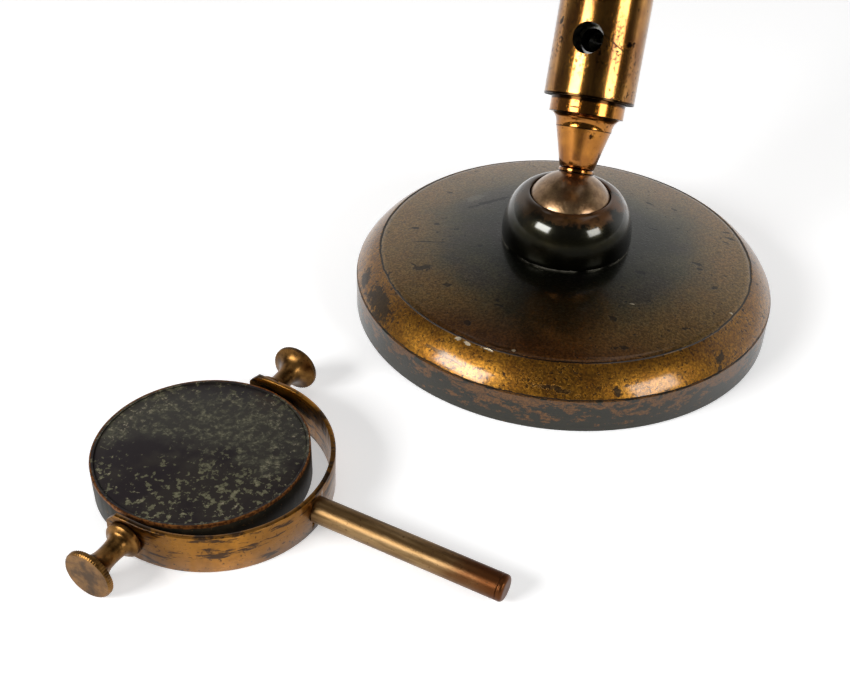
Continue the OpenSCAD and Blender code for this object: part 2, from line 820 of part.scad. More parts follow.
module wheel_screw() {
  head_z = wheel_base - wheel_play;
  color(steel) on_optics() translate([wheel_reach, 0, 0]) difference() {
    union() {
      rod(wheel_head_r, head_z - wheel_head_t, head_z);
      rod(wheel_screw_r, head_z - cut, stage_under);
      rod(wheel_thread_r, head_z, stage_under + wheel_thread_l);
    }
    translate([-wheel_head_r - cut, -0.4, head_z - wheel_head_t - cut])
      cube([2 * (wheel_head_r + cut), 0.8, cut + 0.9]);
  }
}

// The clip's spring falls from the post to the slide and curls up at its end
function clip_line() = [
  [0, clip_h], [0.2 * clip_l, clip_h], [0.3 * clip_l, clip_h - 0.2], [0.78 * clip_l, clip_slide_h + 0.1],
  [0.84 * clip_l, clip_slide_h], [0.9 * clip_l, clip_slide_h + 0.2], [clip_l, clip_slide_h + 1.6]
];

module stage_clip(side) {
  line = clip_line();
  last = len(line) - 1;
  outline = concat(line, [for (i = [0:last]) line[last - i] + [0, clip_t]]);
  blade_z = stage_top + clip_h;
  knob_z = blade_z + clip_t + clip_knob_h;
  color(blued_steel) on_optics() translate([side * clip_side, clip_back, 0]) difference() {
    union() {
      rod(clip_post_r, stage_under + 0.3, knob_z);
      rod(clip_eye_r, stage_top, stage_top + 1.2);
      rod(clip_eye_r, blade_z, blade_z + clip_t);
      rod(clip_eye_r - 0.5, blade_z + clip_t, knob_z);
      translate([-clip_w / 2, 0, stage_top]) rotate([90, 0, 90]) mirror([1, 0, 0])
        linear_extrude(clip_w) polygon(outline);
    }
    rod(0.6, knob_z - 1.2, knob_z + cut);
  }
}

module stage_clip_left() { stage_clip(-1); }

module stage_clip_right() { stage_clip(1); }

// The guide bar's section is a triangle with its corners turned round
module bar_section(gap) {
  intersection() {
    rotate(90) circle(r = bar_round_d / 2 + 2 * gap, $fn = 3);
    circle(r = bar_d / 2 + gap);
  }
}

module guide_post() {
  color(bright_brass) on_pillar() difference() {
    union() {
      rod(post_flange_d / 2, stage_top, post_top);
      translate([0, 0, post_top - cut]) linear_extrude(bar_l + cut) bar_section(0);
    }
    rod(stage_tenon_r + seat_gap, stage_top - cut, stage_top + tenon_grip);
    rod(fine_r + fit, bar_top - fine_l - 2, bar_top + cut);
    around(column_screw_count, column_screw_reach) {
      rod(column_screw_r + seat_gap, stage_top - cut, post_top + cut);
      translate([0, 0, post_top - column_screw_r])
        cylinder(r1 = column_screw_r + seat_gap, r2 = 2 * column_screw_r + seat_gap, h = column_screw_r);
    }
  }
}

module column_screws() {
  color(steel) on_pillar() around(column_screw_count, column_screw_reach) difference() {
    union() {
      rod(column_screw_r, column_screw_end, post_top - column_screw_r);
      translate([0, 0, post_top - column_screw_r])
        cylinder(r1 = column_screw_r, r2 = 2 * column_screw_r, h = column_screw_r);
    }
    translate([-0.3, -2 * column_screw_r, post_top - 0.7]) cube([0.6, 4 * column_screw_r, 1]);
  }
}

// The arm springs from the barrel and ends in a pad that carries the body
module arm() {
  half_h = arm_h / 2;
  reach = [pad_y - pad_t - barrel_r, 0.8 * arm_h];
  foot_z = box_z - half_h - reach[1];
  color(bright_brass) on_pillar() difference() {
    union() {
      rod(barrel_r, barrel_base, barrel_top);
      translate([-arm_w / 2, 0, 0]) rotate([90, 0, 90]) linear_extrude(arm_w) polygon(concat(
        [[-relief_r, foot_z], [-relief_r, box_z + half_h], [pad_t / 2 - pad_y, box_z + half_h]],
        [[pad_t / 2 - pad_y, box_z - half_h]],
        arc([pad_t - pad_y, foot_z], reach, 90, 0, 12)
      ));
      translate([-box_w / 2, -pad_y, box_z - box_h / 2]) cube([box_w, pad_t, box_h]);
    }
    rod(relief_r, barrel_base - cut, relief_top);
    translate([0, 0, barrel_base]) linear_extrude(barrel_l + cut) bar_section(fit);
    rod(cap_spigot_r + seat_gap, barrel_top - cap_spigot_l - seat_gap, barrel_top + cut);
    for (x = [-pad_screw_x, pad_screw_x], z = [-pad_screw_z, pad_screw_z])
      translate([x, 0, box_z + z]) rotate([90, 0, 0]) rod(pad_screw_r + seat_gap, 0, pad_y + cut);
  }
}

module barrel_cap() {
  bevel = 0.8;
  color(bright_brass) on_pillar() rotate_extrude() polygon([
    [fine_r + fit, barrel_top - cap_spigot_l], [cap_spigot_r, barrel_top - cap_spigot_l],
    [cap_spigot_r, barrel_top], [barrel_r, barrel_top], [barrel_r, cap_top - bevel],
    [barrel_r - bevel, cap_top], [fine_r + fit, cap_top]
  ]);
}

module fine_screw() {
  color(steel) on_pillar() rod(fine_r, bar_top - fine_l, cap_top + fine_head_grip);
}

module fine_head() {
  color(bright_brass) on_pillar() translate([0, 0, cap_top]) difference() {
    milled_head(fine_head_d / 2, fine_head_h);
    rod(fine_r + seat_gap, -cut, fine_head_grip + seat_gap);
  }
}

// The spring is one tube swept round a helix, and stands on the guide bar
module fine_spring() {
  sides = 6;
  rings = 14;
  wire_r = spring_wire_d / 2;
  rise = spring_l - 2 * wire_r;
  steps = spring_turns * rings;
  last = sides - 1;
  points = [for (i = [0:steps], k = [0:last])
    let (a = i * 360 / rings, b = k * 360 / sides, r = spring_r + wire_r * cos(b))
      [r * cos(a), r * sin(a), wire_r + rise * i / steps + wire_r * sin(b)]];
  walls = [for (i = [0:steps - 1], k = [0:last])
    let (n = (k + 1) % sides, a = i * sides, b = a + sides) [a + k, b + k, b + n, a + n]];
  ends = [[for (k = [0:last]) k], [for (k = [0:last]) steps * sides + last - k]];
  color(steel) on_pillar() translate([0, 0, bar_top])
    polyhedron(points = points, faces = concat(walls, ends));
}

// The jacket holds the body tube, and the box behind it holds the pinion
module body_jacket() {
  half_box = box_w / 2;
  color(bright_brass) on_optics() difference() {
    union() {
      rod(jacket_r, box_z - jacket_l / 2, box_z + jacket_l / 2);
      translate([-half_box, box_front, box_z - box_h / 2]) cube([box_w, box_back - box_front, box_h]);
    }
    rod(jacket_bore_r, box_z - jacket_l, box_z + jacket_l);
    translate([-rack_slot_w / 2, 0, box_z - jacket_l]) cube([rack_slot_w, rack_slot_y, 2 * jacket_l]);
    translate([0, pinion_y, box_z]) rotate([0, 90, 0]) {
      rod(pinion_shaft_r + fit, -half_box - cut, 0);
      rod(pinion_bore_r, -pinion_w / 2 - 0.4, half_box + cut);
    }
    for (x = [-pad_screw_x, pad_screw_x], z = [-pad_screw_z, pad_screw_z])
      translate([x, box_back, box_z + z]) rotate([90, 0, 0])
        rod(pad_screw_r + seat_gap, -cut, pad_screw_l - pad_t + seat_gap);
  }
}

module pad_screws() {
  head_r = 1.7 * pad_screw_r;
  color(steel) on_pillar() for (x = [-pad_screw_x, pad_screw_x], z = [-pad_screw_z, pad_screw_z])
    translate([x, pad_t - pad_y, box_z + z]) rotate([90, 0, 0]) difference() {
      union() {
        rod(pad_screw_r, 0, pad_screw_l);
        rod(head_r, -1.6, 0);
      }
      translate([-head_r - cut, -0.3, -1.6 - cut]) cube([2 * (head_r + cut), 0.6, cut + 0.7]);
    }
}

module pinion_bush() {
  color(aged_brass) on_optics() translate([0, pinion_y, box_z]) rotate([0, 90, 0])
    tube(pinion_bore_r - seat_gap, pinion_shaft_r + fit, pinion_w / 2 + 0.4, box_w / 2);
}

// Half the angle of a pinion tooth at a radius, from the involute of its base circle
function involute(r, base_r) = r <= base_r ? 0 : sqrt(pow(r / base_r, 2) - 1) * 180 / PI - acos(base_r / r);

function tooth_half_angle(r) =
  let (base_r = pinion_r * cos(pressure_angle), play = backlash / 2 / pinion_r * 180 / PI)
    90 / pinion_teeth - play + involute(pinion_r, base_r) - involute(r, base_r);

module pinion_teeth_section() {
  root_r = pinion_r - dedendum;
  tip_r = pinion_r + addendum;
  levels = [root_r, pinion_r * cos(pressure_angle), pinion_r, pinion_r + addendum / 2, tip_r];
  last = len(levels) - 1;
  polygon([
    for (t = [0:pinion_teeth - 1], side = [-1, 1], i = [0:last])
      let (r = levels[side < 0 ? i : last - i], a = t * 360 / pinion_teeth + side * tooth_half_angle(r))
        [r * cos(a), r * sin(a)]
  ]);
}

module pinion_shaft() {
  shaft_end = head_x + head_grip;
  color(steel) on_optics() translate([0, pinion_y, box_z]) rotate([0, 90, 0]) {
    rod(pinion_shaft_r, -shaft_end, shaft_end);
    rotate([0, 0, -90]) translate([0, 0, -pinion_w / 2]) linear_extrude(pinion_w) pinion_teeth_section();
  }
}

module milled_head_at(side) {
  color(bright_brass) on_optics() translate([side * head_x, pinion_y, box_z])
    rotate([0, side * 90, 0]) difference() {
      milled_head(head_d / 2, head_t);
      rod(pinion_shaft_r + seat_gap, -cut, head_grip + seat_gap);
    }
}

module milled_head_left() { milled_head_at(-1); }

module milled_head_right() { milled_head_at(1); }

module body_tube() {
  color(bright_brass) on_optics() tube(body_r, body_bore_r, body_z, body_top);
}

// The rack's teeth are straight-sided, and a gap between two of them faces the pinion's middle
module rack_section() {
  pitch = PI * tooth;
  half = pitch / 4 - backlash / 4;
  flank = tan(pressure_angle);
  below = floor((box_z - rack_z) / pitch - 0.75);
  above = floor((rack_z + rack_l - box_z) / pitch - 0.75);
  teeth = [for (k = [-below:above]) let (z = box_z + (k - 0.5) * pitch) each [
    [pitch_y - dedendum, z - half - dedendum * flank], [pitch_y + addendum, z - half + addendum * flank],
    [pitch_y + addendum, z + half - addendum * flank], [pitch_y - dedendum, z + half + dedendum * flank]
  ]];
  polygon(concat(
    [[0.8 * body_r, rack_z], [pitch_y - dedendum, rack_z]], teeth,
    [[pitch_y - dedendum, rack_z + rack_l], [0.8 * body_r, rack_z + rack_l]]
  ));
}

module rack() {
  color(aged_brass) on_optics() difference() {
    translate([-rack_w / 2, 0, 0]) rotate([90, 0, 90]) linear_extrude(rack_w) rack_section();
    rod(body_r + seat_gap, rack_z - cut, rack_z + rack_l + cut);
  }
}

module tube_collar() {
  color(bright_brass) on_optics() rotate_extrude() polygon([
    [body_r + seat_gap, body_top - collar_l], [collar_r - 0.6, body_top - collar_l],
    [collar_r, body_top - collar_l + 0.6], [collar_r, body_top + collar_lip - 0.8],
    [collar_r - 0.8, body_top + collar_lip], [draw_r + 0.3, body_top + collar_lip],
    [draw_r + 0.3, body_top], [body_r + seat_gap, body_top]
  ]);
}

module tube_bush() {
  color(aged_brass) on_optics() tube(body_bore_r - seat_gap, draw_r + fit, body_top - bush_l, body_top);
}

module draw_tube() {
  ring_l = 3;
  color(bright_brass) on_optics() {
    tube(draw_r, draw_bore_r, draw_base, draw_top);
    tube(body_bore_r - fit, draw_bore_r, draw_base, draw_base + ring_l);
  }
}

module eyepiece_tube() {
  color(bright_brass) on_optics() {
    tube(eye_r, eye_bore_r, eye_base, draw_top + eye_screw_l);
    tube(eye_r, eye_ledge_r, eye_base, eye_base + field_ledge);
  }
}

module field_lens() {
  color(clear_glass) on_optics() flat_topped_lens(field_lens_r, field_curve_r, field_edge_t, field_top);
}

module field_stop() {
  stop_z = eye_base + eye_l / 2;
  color(iron) on_optics() tube(eye_bore_r - seat_gap, field_stop_d / 2, stop_z, stop_z + 1.2);
}

module eyepiece_cap() {
  cap_r = eye_cap_d / 2;
  top = draw_top + eye_cap_h;
  lens_z = top - cap_dish - eye_rim_t;
  color(bright_brass) on_optics() rotate_extrude() polygon([
    [eye_r + seat_gap, draw_top], [cap_r - 0.8, draw_top], [cap_r, draw_top + 0.8], [cap_r, draw_top + 4],
    [cap_r - 1, draw_top + 5], [0.8 * cap_r, top - 0.8], [0.8 * cap_r - 0.8, top],
    [0.66 * cap_r, top], [eye_hole_r, top - cap_dish], [eye_hole_r, lens_z],
    [eye_lens_r + seat_gap, lens_z], [eye_lens_r + seat_gap, cap_bore_top], [eye_r + seat_gap, cap_bore_top]
  ]);
}

module eye_lens() {
  color(clear_glass) on_optics()
    flat_topped_lens(eye_lens_r, 15, 0.9, draw_top + eye_cap_h - cap_dish - eye_rim_t - seat_gap);
}

module nosepiece() {
  bead = 1.2;
  color(bright_brass) on_optics() rotate_extrude() polygon([
    [thread_r + seat_gap, nose_z], [nose_d / 2 - 0.5, nose_z], [nose_d / 2, nose_z + 0.5],
    [nose_d / 2, nose_z + bead], [nose_d / 2 - 0.4, nose_z + bead + 0.4],
    [body_r - 0.4, body_z - bead - 0.4], [body_r, body_z - bead], [body_r, body_z],
    [body_bore_r - seat_gap, body_z],
    [body_bore_r - seat_gap, body_z + nose_spigot_l], [body_bore_r - 2, body_z + nose_spigot_l],
    [body_bore_r - 2, body_z], [thread_r + seat_gap, nose_z + 0.7 * nose_h]
  ]);
}

module objective_barrel() {
  r = objective_barrel_d / 2;
  color(bright_brass) on_optics() difference() {
    union() {
      rod(thread_r, nose_z - cut, nose_z + thread_l);
      translate([0, 0, ring_z]) rotate_extrude() polygon([
        [0, 0], [objective_d / 2 - 0.6, 0], [objective_d / 2, 0.6],
        [objective_d / 2, objective_ring_h - 0.6], [objective_d / 2 - 0.6, objective_ring_h],
        [0, objective_ring_h]
      ]);
      rod(r, barrel_z, ring_z + cut);
    }
    rod(objective_bore_r, barrel_z - cut, nose_z + thread_l + cut);
  }
}

module objective_front() {
  color(bright_brass) on_optics() rotate_extrude() polygon([
    [front_bore_r, front_z], [objective_front_d / 2, front_z], [objective_front_d / 2, front_z + 2],
    [objective_barrel_d / 2, barrel_z - 1.5], [objective_barrel_d / 2, barrel_z],
    [objective_bore_r - seat_gap, barrel_z], [objective_bore_r - seat_gap, barrel_z + 3],
    [front_bore_r, barrel_z + 3]
  ]);
}

module objective_back_lens() {
  r = objective_bore_r - seat_gap;
  color(clear_glass) on_optics() flat_topped_lens(r, 18, 1.6, barrel_z + objective_barrel_h);
}

module objective_front_lens() {
  color(clear_glass) on_optics() rod(front_bore_r - seat_gap, front_z + 0.2, front_z + 2);
}

module fork_outline(r) {
  translate([fork_bend, 0]) circle(r = r);
  translate([-fork_end, -r]) square([fork_end + fork_bend, 2 * r]);
}

module mirror_fork() {
  corner = fork_clip * sqrt(2);
  color(bright_brass) on_fork() difference() {
    translate([0, 0, -fork_w / 2]) linear_extrude(fork_w) difference() {
      fork_outline(fork_r);
      fork_outline(fork_r - fork_t);
      translate([-fork_end - fork_r, -fork_r]) square([fork_r, 2 * fork_r]);
      translate([-fork_end - cut, fork_t - fork_r]) square([2 * cut, 2 * (fork_r - fork_t)]);
    }
    rotate([90, 0, 0]) rod(pivot_r + fit, -fork_r - cut, fork_r + cut);
    for (side = [-1, 1]) translate([-fork_end, 0, side * fork_w / 2]) rotate([0, 45, 0])
      cube([corner, 2 * fork_r + 2 * cut, corner], center = true);
    rotate([0, 90, 0]) rod(stem_tenon_r + seat_gap, fork_bend, stem_root + cut);
  }
}

module mirror_stem() {
  groove = 0.15;
  ring_at = peg_reach - 1.6;
  color(aged_brass) on_fork() rotate([0, 90, 0]) rotate_extrude() polygon(concat(
    [[0, stem_root - fork_t], [stem_tenon_r, stem_root - fork_t], [stem_tenon_r, stem_root]],
    [[peg_r, stem_root], [peg_r, ring_at - groove], [peg_r - groove, ring_at], [peg_r, ring_at + groove]],
    arc([peg_r - peg_round, peg_reach - peg_round], [peg_round, peg_round], 0, 90, 6),
    [[0, peg_reach]]
  ));
}

// A pivot screw: point, thread through the fork, shoulder, waisted neck and milled head
module pivot_screw(side) {
  point_end = -pivot_gap - pivot_point_l;
  thread_end = fork_t - pivot_gap;
  rim = pivot_head_l - pivot_rim_t;
  shoulder_r = pivot_shoulder_d / 2;
  neck_r = pivot_neck_d / 2;
  neck_z = 0.5 * pivot_head_l;
  color(aged_brass) on_fork() translate([0, side * fork_r, 0]) rotate([-side * 90, 0, 0])
    rotate_extrude() polygon(concat(
      [
        [0, point_end], [0.2, point_end], [pivot_point_r, thread_end], [pivot_r, thread_end],
        [pivot_r, 0], [shoulder_r - 0.5, 0], [shoulder_r, 0.5], [shoulder_r, 1.4], [shoulder_r - 0.6, 2]
      ],
      arc([shoulder_r - 0.9, neck_z], [shoulder_r - 0.9 - neck_r, neck_z - 2.3], 270, 180, 6),
      arc([pivot_head_r - 0.7, neck_z], [pivot_head_r - 0.7 - neck_r, rim - neck_z], 180, 90, 8),
      [
        [pivot_head_r, rim + 0.2], [pivot_head_r, pivot_head_l - 0.4], [pivot_head_r - 0.4, pivot_head_l],
        [0, pivot_head_l]
      ]
    ));
}

module pivot_screw_front() { pivot_screw(-1); }

module pivot_screw_rear() { pivot_screw(1); }

// The cell holds a glass on each face of its web, and has a dimple for each pivot screw
module mirror_cell() {
  color(dark_bronze) in_fork() difference() {
    rod(cell_r, -cell_back_t, cell_face_t);
    rod(glass_r + seat_gap, cell_web, cell_face_t + cut);
    rod(glass_r + seat_gap, -cell_back_t - cut, -cell_web);
    for (side = [-1, 1]) rotate([-side * 90, 0, 0])
      translate([0, 0, cell_r - pivot_point_l - 0.2])
        cylinder(r1 = 0.2, r2 = pivot_point_r + 0.15, h = pivot_point_l + 0.4);
  }
}

module mirror_flat_glass() {
  color(dull_mirror) in_fork() rod(glass_r, cell_web + seat_gap, cell_face_t - glass_inset);
}

module mirror_hollow_glass() {
  face = -cell_back_t + glass_inset;
  margin = 1;
  depth = sqrt(pow(hollow_r, 2) - pow(glass_r - margin, 2));
  color(dull_mirror) in_fork() difference() {
    rod(glass_r, face, -cell_web - seat_gap);
    translate([0, 0, face - depth]) sphere(r = hollow_r, $fn = 192);
  }
}

foot_shell();
foot_weight();
foot_plate();
foot_plate_screws();
ball_socket();
ball_seat();
seat_spring();
seat_screw();
ball();
pillar_neck();
pillar_sleeve();
stage_flange();
stage_plate();
wheel_of_stops();
wheel_screw();
stage_clip_left();
stage_clip_right();
guide_post();
column_screws();
arm();
barrel_cap();
fine_screw();
fine_head();
fine_spring();
body_jacket();
pad_screws();
pinion_bush();
pinion_shaft();
milled_head_left();
milled_head_right();
body_tube();
rack();
tube_collar();
tube_bush();
draw_tube();
eyepiece_tube();
eyepiece_cap();
eye_lens();
field_lens();
field_stop();
nosepiece();
objective_barrel();
objective_front();
objective_back_lens();
objective_front_lens();
mirror_fork();
mirror_stem();
pivot_screw_front();
pivot_screw_rear();
mirror_cell();
mirror_flat_glass();
mirror_hollow_glass();
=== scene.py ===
import json
import math

import bmesh
import bpy
from mathutils import Matrix, Vector


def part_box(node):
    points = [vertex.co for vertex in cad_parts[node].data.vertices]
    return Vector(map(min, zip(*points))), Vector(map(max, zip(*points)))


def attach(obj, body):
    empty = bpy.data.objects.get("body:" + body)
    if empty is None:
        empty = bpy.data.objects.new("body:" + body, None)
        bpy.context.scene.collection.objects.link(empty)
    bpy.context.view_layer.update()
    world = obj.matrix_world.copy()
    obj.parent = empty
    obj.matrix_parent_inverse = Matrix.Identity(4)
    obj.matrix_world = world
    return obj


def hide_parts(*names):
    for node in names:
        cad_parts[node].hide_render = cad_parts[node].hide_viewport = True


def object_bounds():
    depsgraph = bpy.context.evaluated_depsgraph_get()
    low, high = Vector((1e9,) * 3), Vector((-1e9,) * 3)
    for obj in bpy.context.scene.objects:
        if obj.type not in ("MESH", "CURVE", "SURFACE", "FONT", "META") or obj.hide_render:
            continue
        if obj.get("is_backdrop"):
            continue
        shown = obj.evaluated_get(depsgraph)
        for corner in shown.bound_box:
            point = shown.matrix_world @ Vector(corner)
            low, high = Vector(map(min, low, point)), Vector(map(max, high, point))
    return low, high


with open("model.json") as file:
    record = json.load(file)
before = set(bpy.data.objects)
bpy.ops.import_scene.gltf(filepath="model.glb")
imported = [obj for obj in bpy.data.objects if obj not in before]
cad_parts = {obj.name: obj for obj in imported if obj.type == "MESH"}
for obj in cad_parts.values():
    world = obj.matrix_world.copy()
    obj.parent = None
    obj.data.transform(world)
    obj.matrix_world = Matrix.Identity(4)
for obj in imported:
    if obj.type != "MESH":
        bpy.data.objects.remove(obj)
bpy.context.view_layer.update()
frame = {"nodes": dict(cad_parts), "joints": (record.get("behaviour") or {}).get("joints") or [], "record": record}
nodes = frame["nodes"]
joints = {joint["name"]: joint for joint in frame["joints"]}
mounts = {mount["name"]: mount for mount in frame["record"]["mounts"]}
MM = 0.001

# The foot: a heavy disc of turned brass with a rounded shoulder between two fine lines. Its brown lacquer
# has gone dark green round the ball, is still golden on the shoulder, and is rubbed grey along the band.
# Below, it is hollowed for an iron weight round a hub, and the hub is bored for the ball's socket and cup.
_, foot_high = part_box("foot_shell")
foot_r = foot_high.x / MM
foot_crown = foot_high.z / MM
foot_ease = 0.4
band_h, band_line = 10.3, 0.35
edge_r, edge_h, edge_line = foot_r - 6.8, foot_crown - 4.2, 0.3
shoulder_rise, crown_rise = 0.6, 0.5
socket_foot_r = 18.1
socket_bore_r, socket_bore_h = 13.65, 10.1
cup_bore_r = 11.05
hub_r, hub_foot = 23, 1.4
weight_r, weight_h = 54.5, 11.9


def turned(name, outline, turns=192, closed=True, place=Matrix()):
    """A piece from the lathe: its outline of (radius, height) in mm, spun once round and set in its place"""
    work = bmesh.new()
    points = [work.verts.new((r * MM, 0, z * MM)) for r, z in outline]
    pairs = list(zip(points, points[1:] + points[:1] if closed else points[1:]))
    lines = [work.edges.new(pair) for pair in pairs]
    bmesh.ops.spin(work, geom=points + lines, cent=(0, 0, 0), axis=(0, 0, 1), angle=math.tau, steps=turns,
                   use_merge=True, use_duplicate=False)
    bmesh.ops.remove_doubles(work, verts=work.verts, dist=1e-7)
    bmesh.ops.recalc_face_normals(work, faces=work.faces)
    return piece(name, work, place)


def piece(name, work, place=Matrix()):
    """The finished mesh, set in its place and shaded smooth between its corners"""
    corner = math.radians(32)
    bmesh.ops.transform(work, matrix=place, verts=work.verts)
    for face in work.faces:
        face.smooth = True
    for edge in work.edges:
        edge.smooth = len(edge.link_faces) != 2 or edge.calc_face_angle() < corner
    mesh = bpy.data.meshes.new(name)
    work.to_mesh(mesh)
    work.free()
    made = bpy.data.objects.new(name, mesh)
    bpy.context.scene.collection.objects.link(made)
    return made


def bow(start, end, rise, steps):
    """Points on a shallow bow between two places of an outline, without its ends"""
    (r0, z0), (r1, z1) = start, end
    length = math.hypot(r1 - r0, z1 - z0)
    out = ((z1 - z0) / length, (r0 - r1) / length)
    shares = [i / steps for i in range(1, steps)]
    return [(r0 + t * (r1 - r0) + 4 * rise * t * (1 - t) * out[0],
             z0 + t * (z1 - z0) + 4 * rise * t * (1 - t) * out[1]) for t in shares]


def new_finish(name, **sockets):
    """A material whose even values are set on the shader's own sockets"""
    made = bpy.data.materials.new(name)
    made.use_nodes = True
    shader = made.node_tree.nodes["Principled BSDF"]
    for socket, value in sockets.items():
        shader.inputs[socket.replace("_", " ")].default_value = value
    return made, made.node_tree, shader


def linked(tree, shader, **sockets):
    """Links uneven values to the shader's sockets"""
    for socket, value in sockets.items():
        tree.links.new(value, shader.inputs[socket.replace("_", " ")])


def node(tree, kind, inputs, **settings):
    """One node: inputs maps its sockets to another node's output or to a value"""
    made = tree.nodes.new("ShaderNode" + kind)
    for setting, value in settings.items():
        setattr(made, setting, value)
    for socket, value in inputs.items():
        if isinstance(value, bpy.types.NodeSocket):
            tree.links.new(value, made.inputs[socket])
        else:
            made.inputs[socket].default_value = value
    return made


def on_piece(tree, own=Matrix(), stretch=(1, 1, 1)):
    """Places on the piece in metres, in a frame of its own"""
    places = tree.nodes.new("ShaderNodeTexCoord").outputs["Object"]
    moved = {"Vector": places, "Rotation": own.to_euler(), "Location": own.translation}
    there = node(tree, "Mapping", moved).outputs[0]
    return node(tree, "Mapping", {"Vector": there, "Scale": stretch}).outputs[0]


def parts_of(tree, places):
    """The x, y and z of places"""
    return node(tree, "SeparateXYZ", {0: places}).outputs


def reach_of(tree, places):
    """Distance of places from their frame's Z axis"""
    across = node(tree, "VectorMath", {0: places, 1: (1, 1, 0)}, operation="MULTIPLY")
    return node(tree, "VectorMath", {0: across.outputs[0]}, operation="LENGTH").outputs["Value"]


def together(tree, how, values):
    """Several values taken together by one kind of arithmetic"""
    result = values[0]
    for value in values[1:]:
        result = node(tree, "Math", {0: result, 1: value}, operation=how).outputs[0]
    return result


def plus(tree, *values):
    return together(tree, "ADD", values)


def less(tree, *values):
    return together(tree, "SUBTRACT", values)


def times(tree, *values):
    return together(tree, "MULTIPLY", values)


def most(tree, *values):
    return together(tree, "MAXIMUM", values)


def grain(tree, places, per_metre, detail=3.0, rough=0.5):
    """Soft random grain from 0 to 1"""
    noise = {"Vector": places, "Scale": per_metre, "Detail": detail, "Roughness": rough}
    return node(tree, "TexNoise", noise).outputs["Fac"]


def swing(tree, value, size):
    """A grain moved to swing about 0, by half of size each way"""
    return times(tree, less(tree, value, 0.5), size)


def from_to(tree, value, low, high):
    """0 at low, 1 at high, and smooth between"""
    return node(tree, "MapRange", {"Value": value, "From Min": low, "From Max": high},
                interpolation_type="SMOOTHSTEP").outputs[0]


def around(tree, value, middle, half):
    """1 near a level and 0 away from it"""
    off = together(tree, "ABSOLUTE", (less(tree, value, middle), 0.0))
    return from_to(tree, off, half, 0.55 * half)


def colour(red, green, blue):
    """A colour as seen, from 0 to 255, made linear"""
    return tuple(((c / 255 + 0.055) / 1.055) ** 2.4 if c > 10 else c / 255 / 12.92
                 for c in (red, green, blue)) + (1,)


def laid_over(tree, amount, under, over, share=1.0):
    """One colour laid over another"""
    if share < 1:
        amount = times(tree, amount, share)
    return node(tree, "Mix", {0: amount, 6: under, 7: over}, data_type="RGBA").outputs[2]


def dented(tree, shader, height, depth, distance=0.0002):
    """Fine relief in the surface"""
    relief = node(tree, "Bump", {"Height": height, "Strength": depth, "Distance": distance})
    linked(tree, shader, Normal=relief.outputs[0])


def mark(tree, places, at, size, heading, ragged, soft=0.15):
    """A ragged mark, 1 inside it: its place and half its length and width in mm, its heading in degrees"""
    depth = 6
    local = node(tree, "Mapping", {
        "Vector": places, "Location": Vector(at) * MM, "Rotation": (0, 0, math.radians(heading)),
        "Scale": Vector((*size, depth)) * MM
    }, vector_type="TEXTURE")
    reach = node(tree, "VectorMath", {0: local.outputs[0]}, operation="LENGTH").outputs["Value"]
    return from_to(tree, plus(tree, reach, ragged), 0.95 + soft, 0.95 - soft)


def marks(tree, places, height, seen, ragged):
    """Several marks at one height, each by x, y, half its length, half its width, and its heading"""
    return most(tree, *[mark(tree, places, (x, y, height), (long, wide), heading, ragged)
                        for x, y, long, wide, heading in seen])


# marks that the photo shows on the foot
bare_patches = (
    (-51.6, -26.3, 3.2, 1.6, 110), (-44, -37, 7.5, 2.6, 128), (48.6, -31.6, 2.4, 0.8, 60),
    (49.2, -33.8, 1.6, 0.5, 80), (25.1, -53.2, 1.4, 0.7, 20))
dark_spots = (
    (-39.4, 17.8, 1.1, 0.6, 0), (-43.9, -5.2, 1.5, 0.7, 0), (-37.8, -2.2, 0.9, 0.6, 0),
    (-31.2, -4.2, 1.2, 0.7, 0), (-22.3, -11.8, 0.9, 0.9, 0), (-35.3, -24.8, 2.4, 1.2, 20),
    (-38.5, -23.5, 1.5, 0.3, -30), (-26.3, -31.1, 1.4, 0.8, 0), (-11.1, -36.5, 1.4, 0.4, -10),
    (-17.1, -44.9, 1.3, 1.0, 30), (37.7, 1.0, 1.7, 0.7, -5), (38.6, -1.4, 1.0, 0.5, 0),
    (23.1, -10.6, 1.4, 0.9, 0), (19.4, -32.5, 1.6, 0.9, -20), (24.0, -42.4, 1.0, 0.8, 0),
    (44.2, 23.7, 1.3, 0.6, 20), (45.4, 20.5, 1.3, 0.7, 0), (44.2, 17.4, 1.0, 0.6, 0),
    (23.3, 13.8, 1.7, 0.4, 0), (-36.5, -12, 5.6, 0.25, 4), (-25.5, 13.8, 7, 0.9, 43))
edge_chips = (
    (-17.9, -50.6, 0.8, 0.5, -15), (-15, -51.9, 1.0, 0.4, -20), (-9.6, -52.9, 1.7, 0.2, -12),
    (-2.7, -51.9, 0.5, 0.4, 0), (23.3, -25.1, 0.9, 0.16, 10), (49.3, -17, 0.5, 0.3, 0))


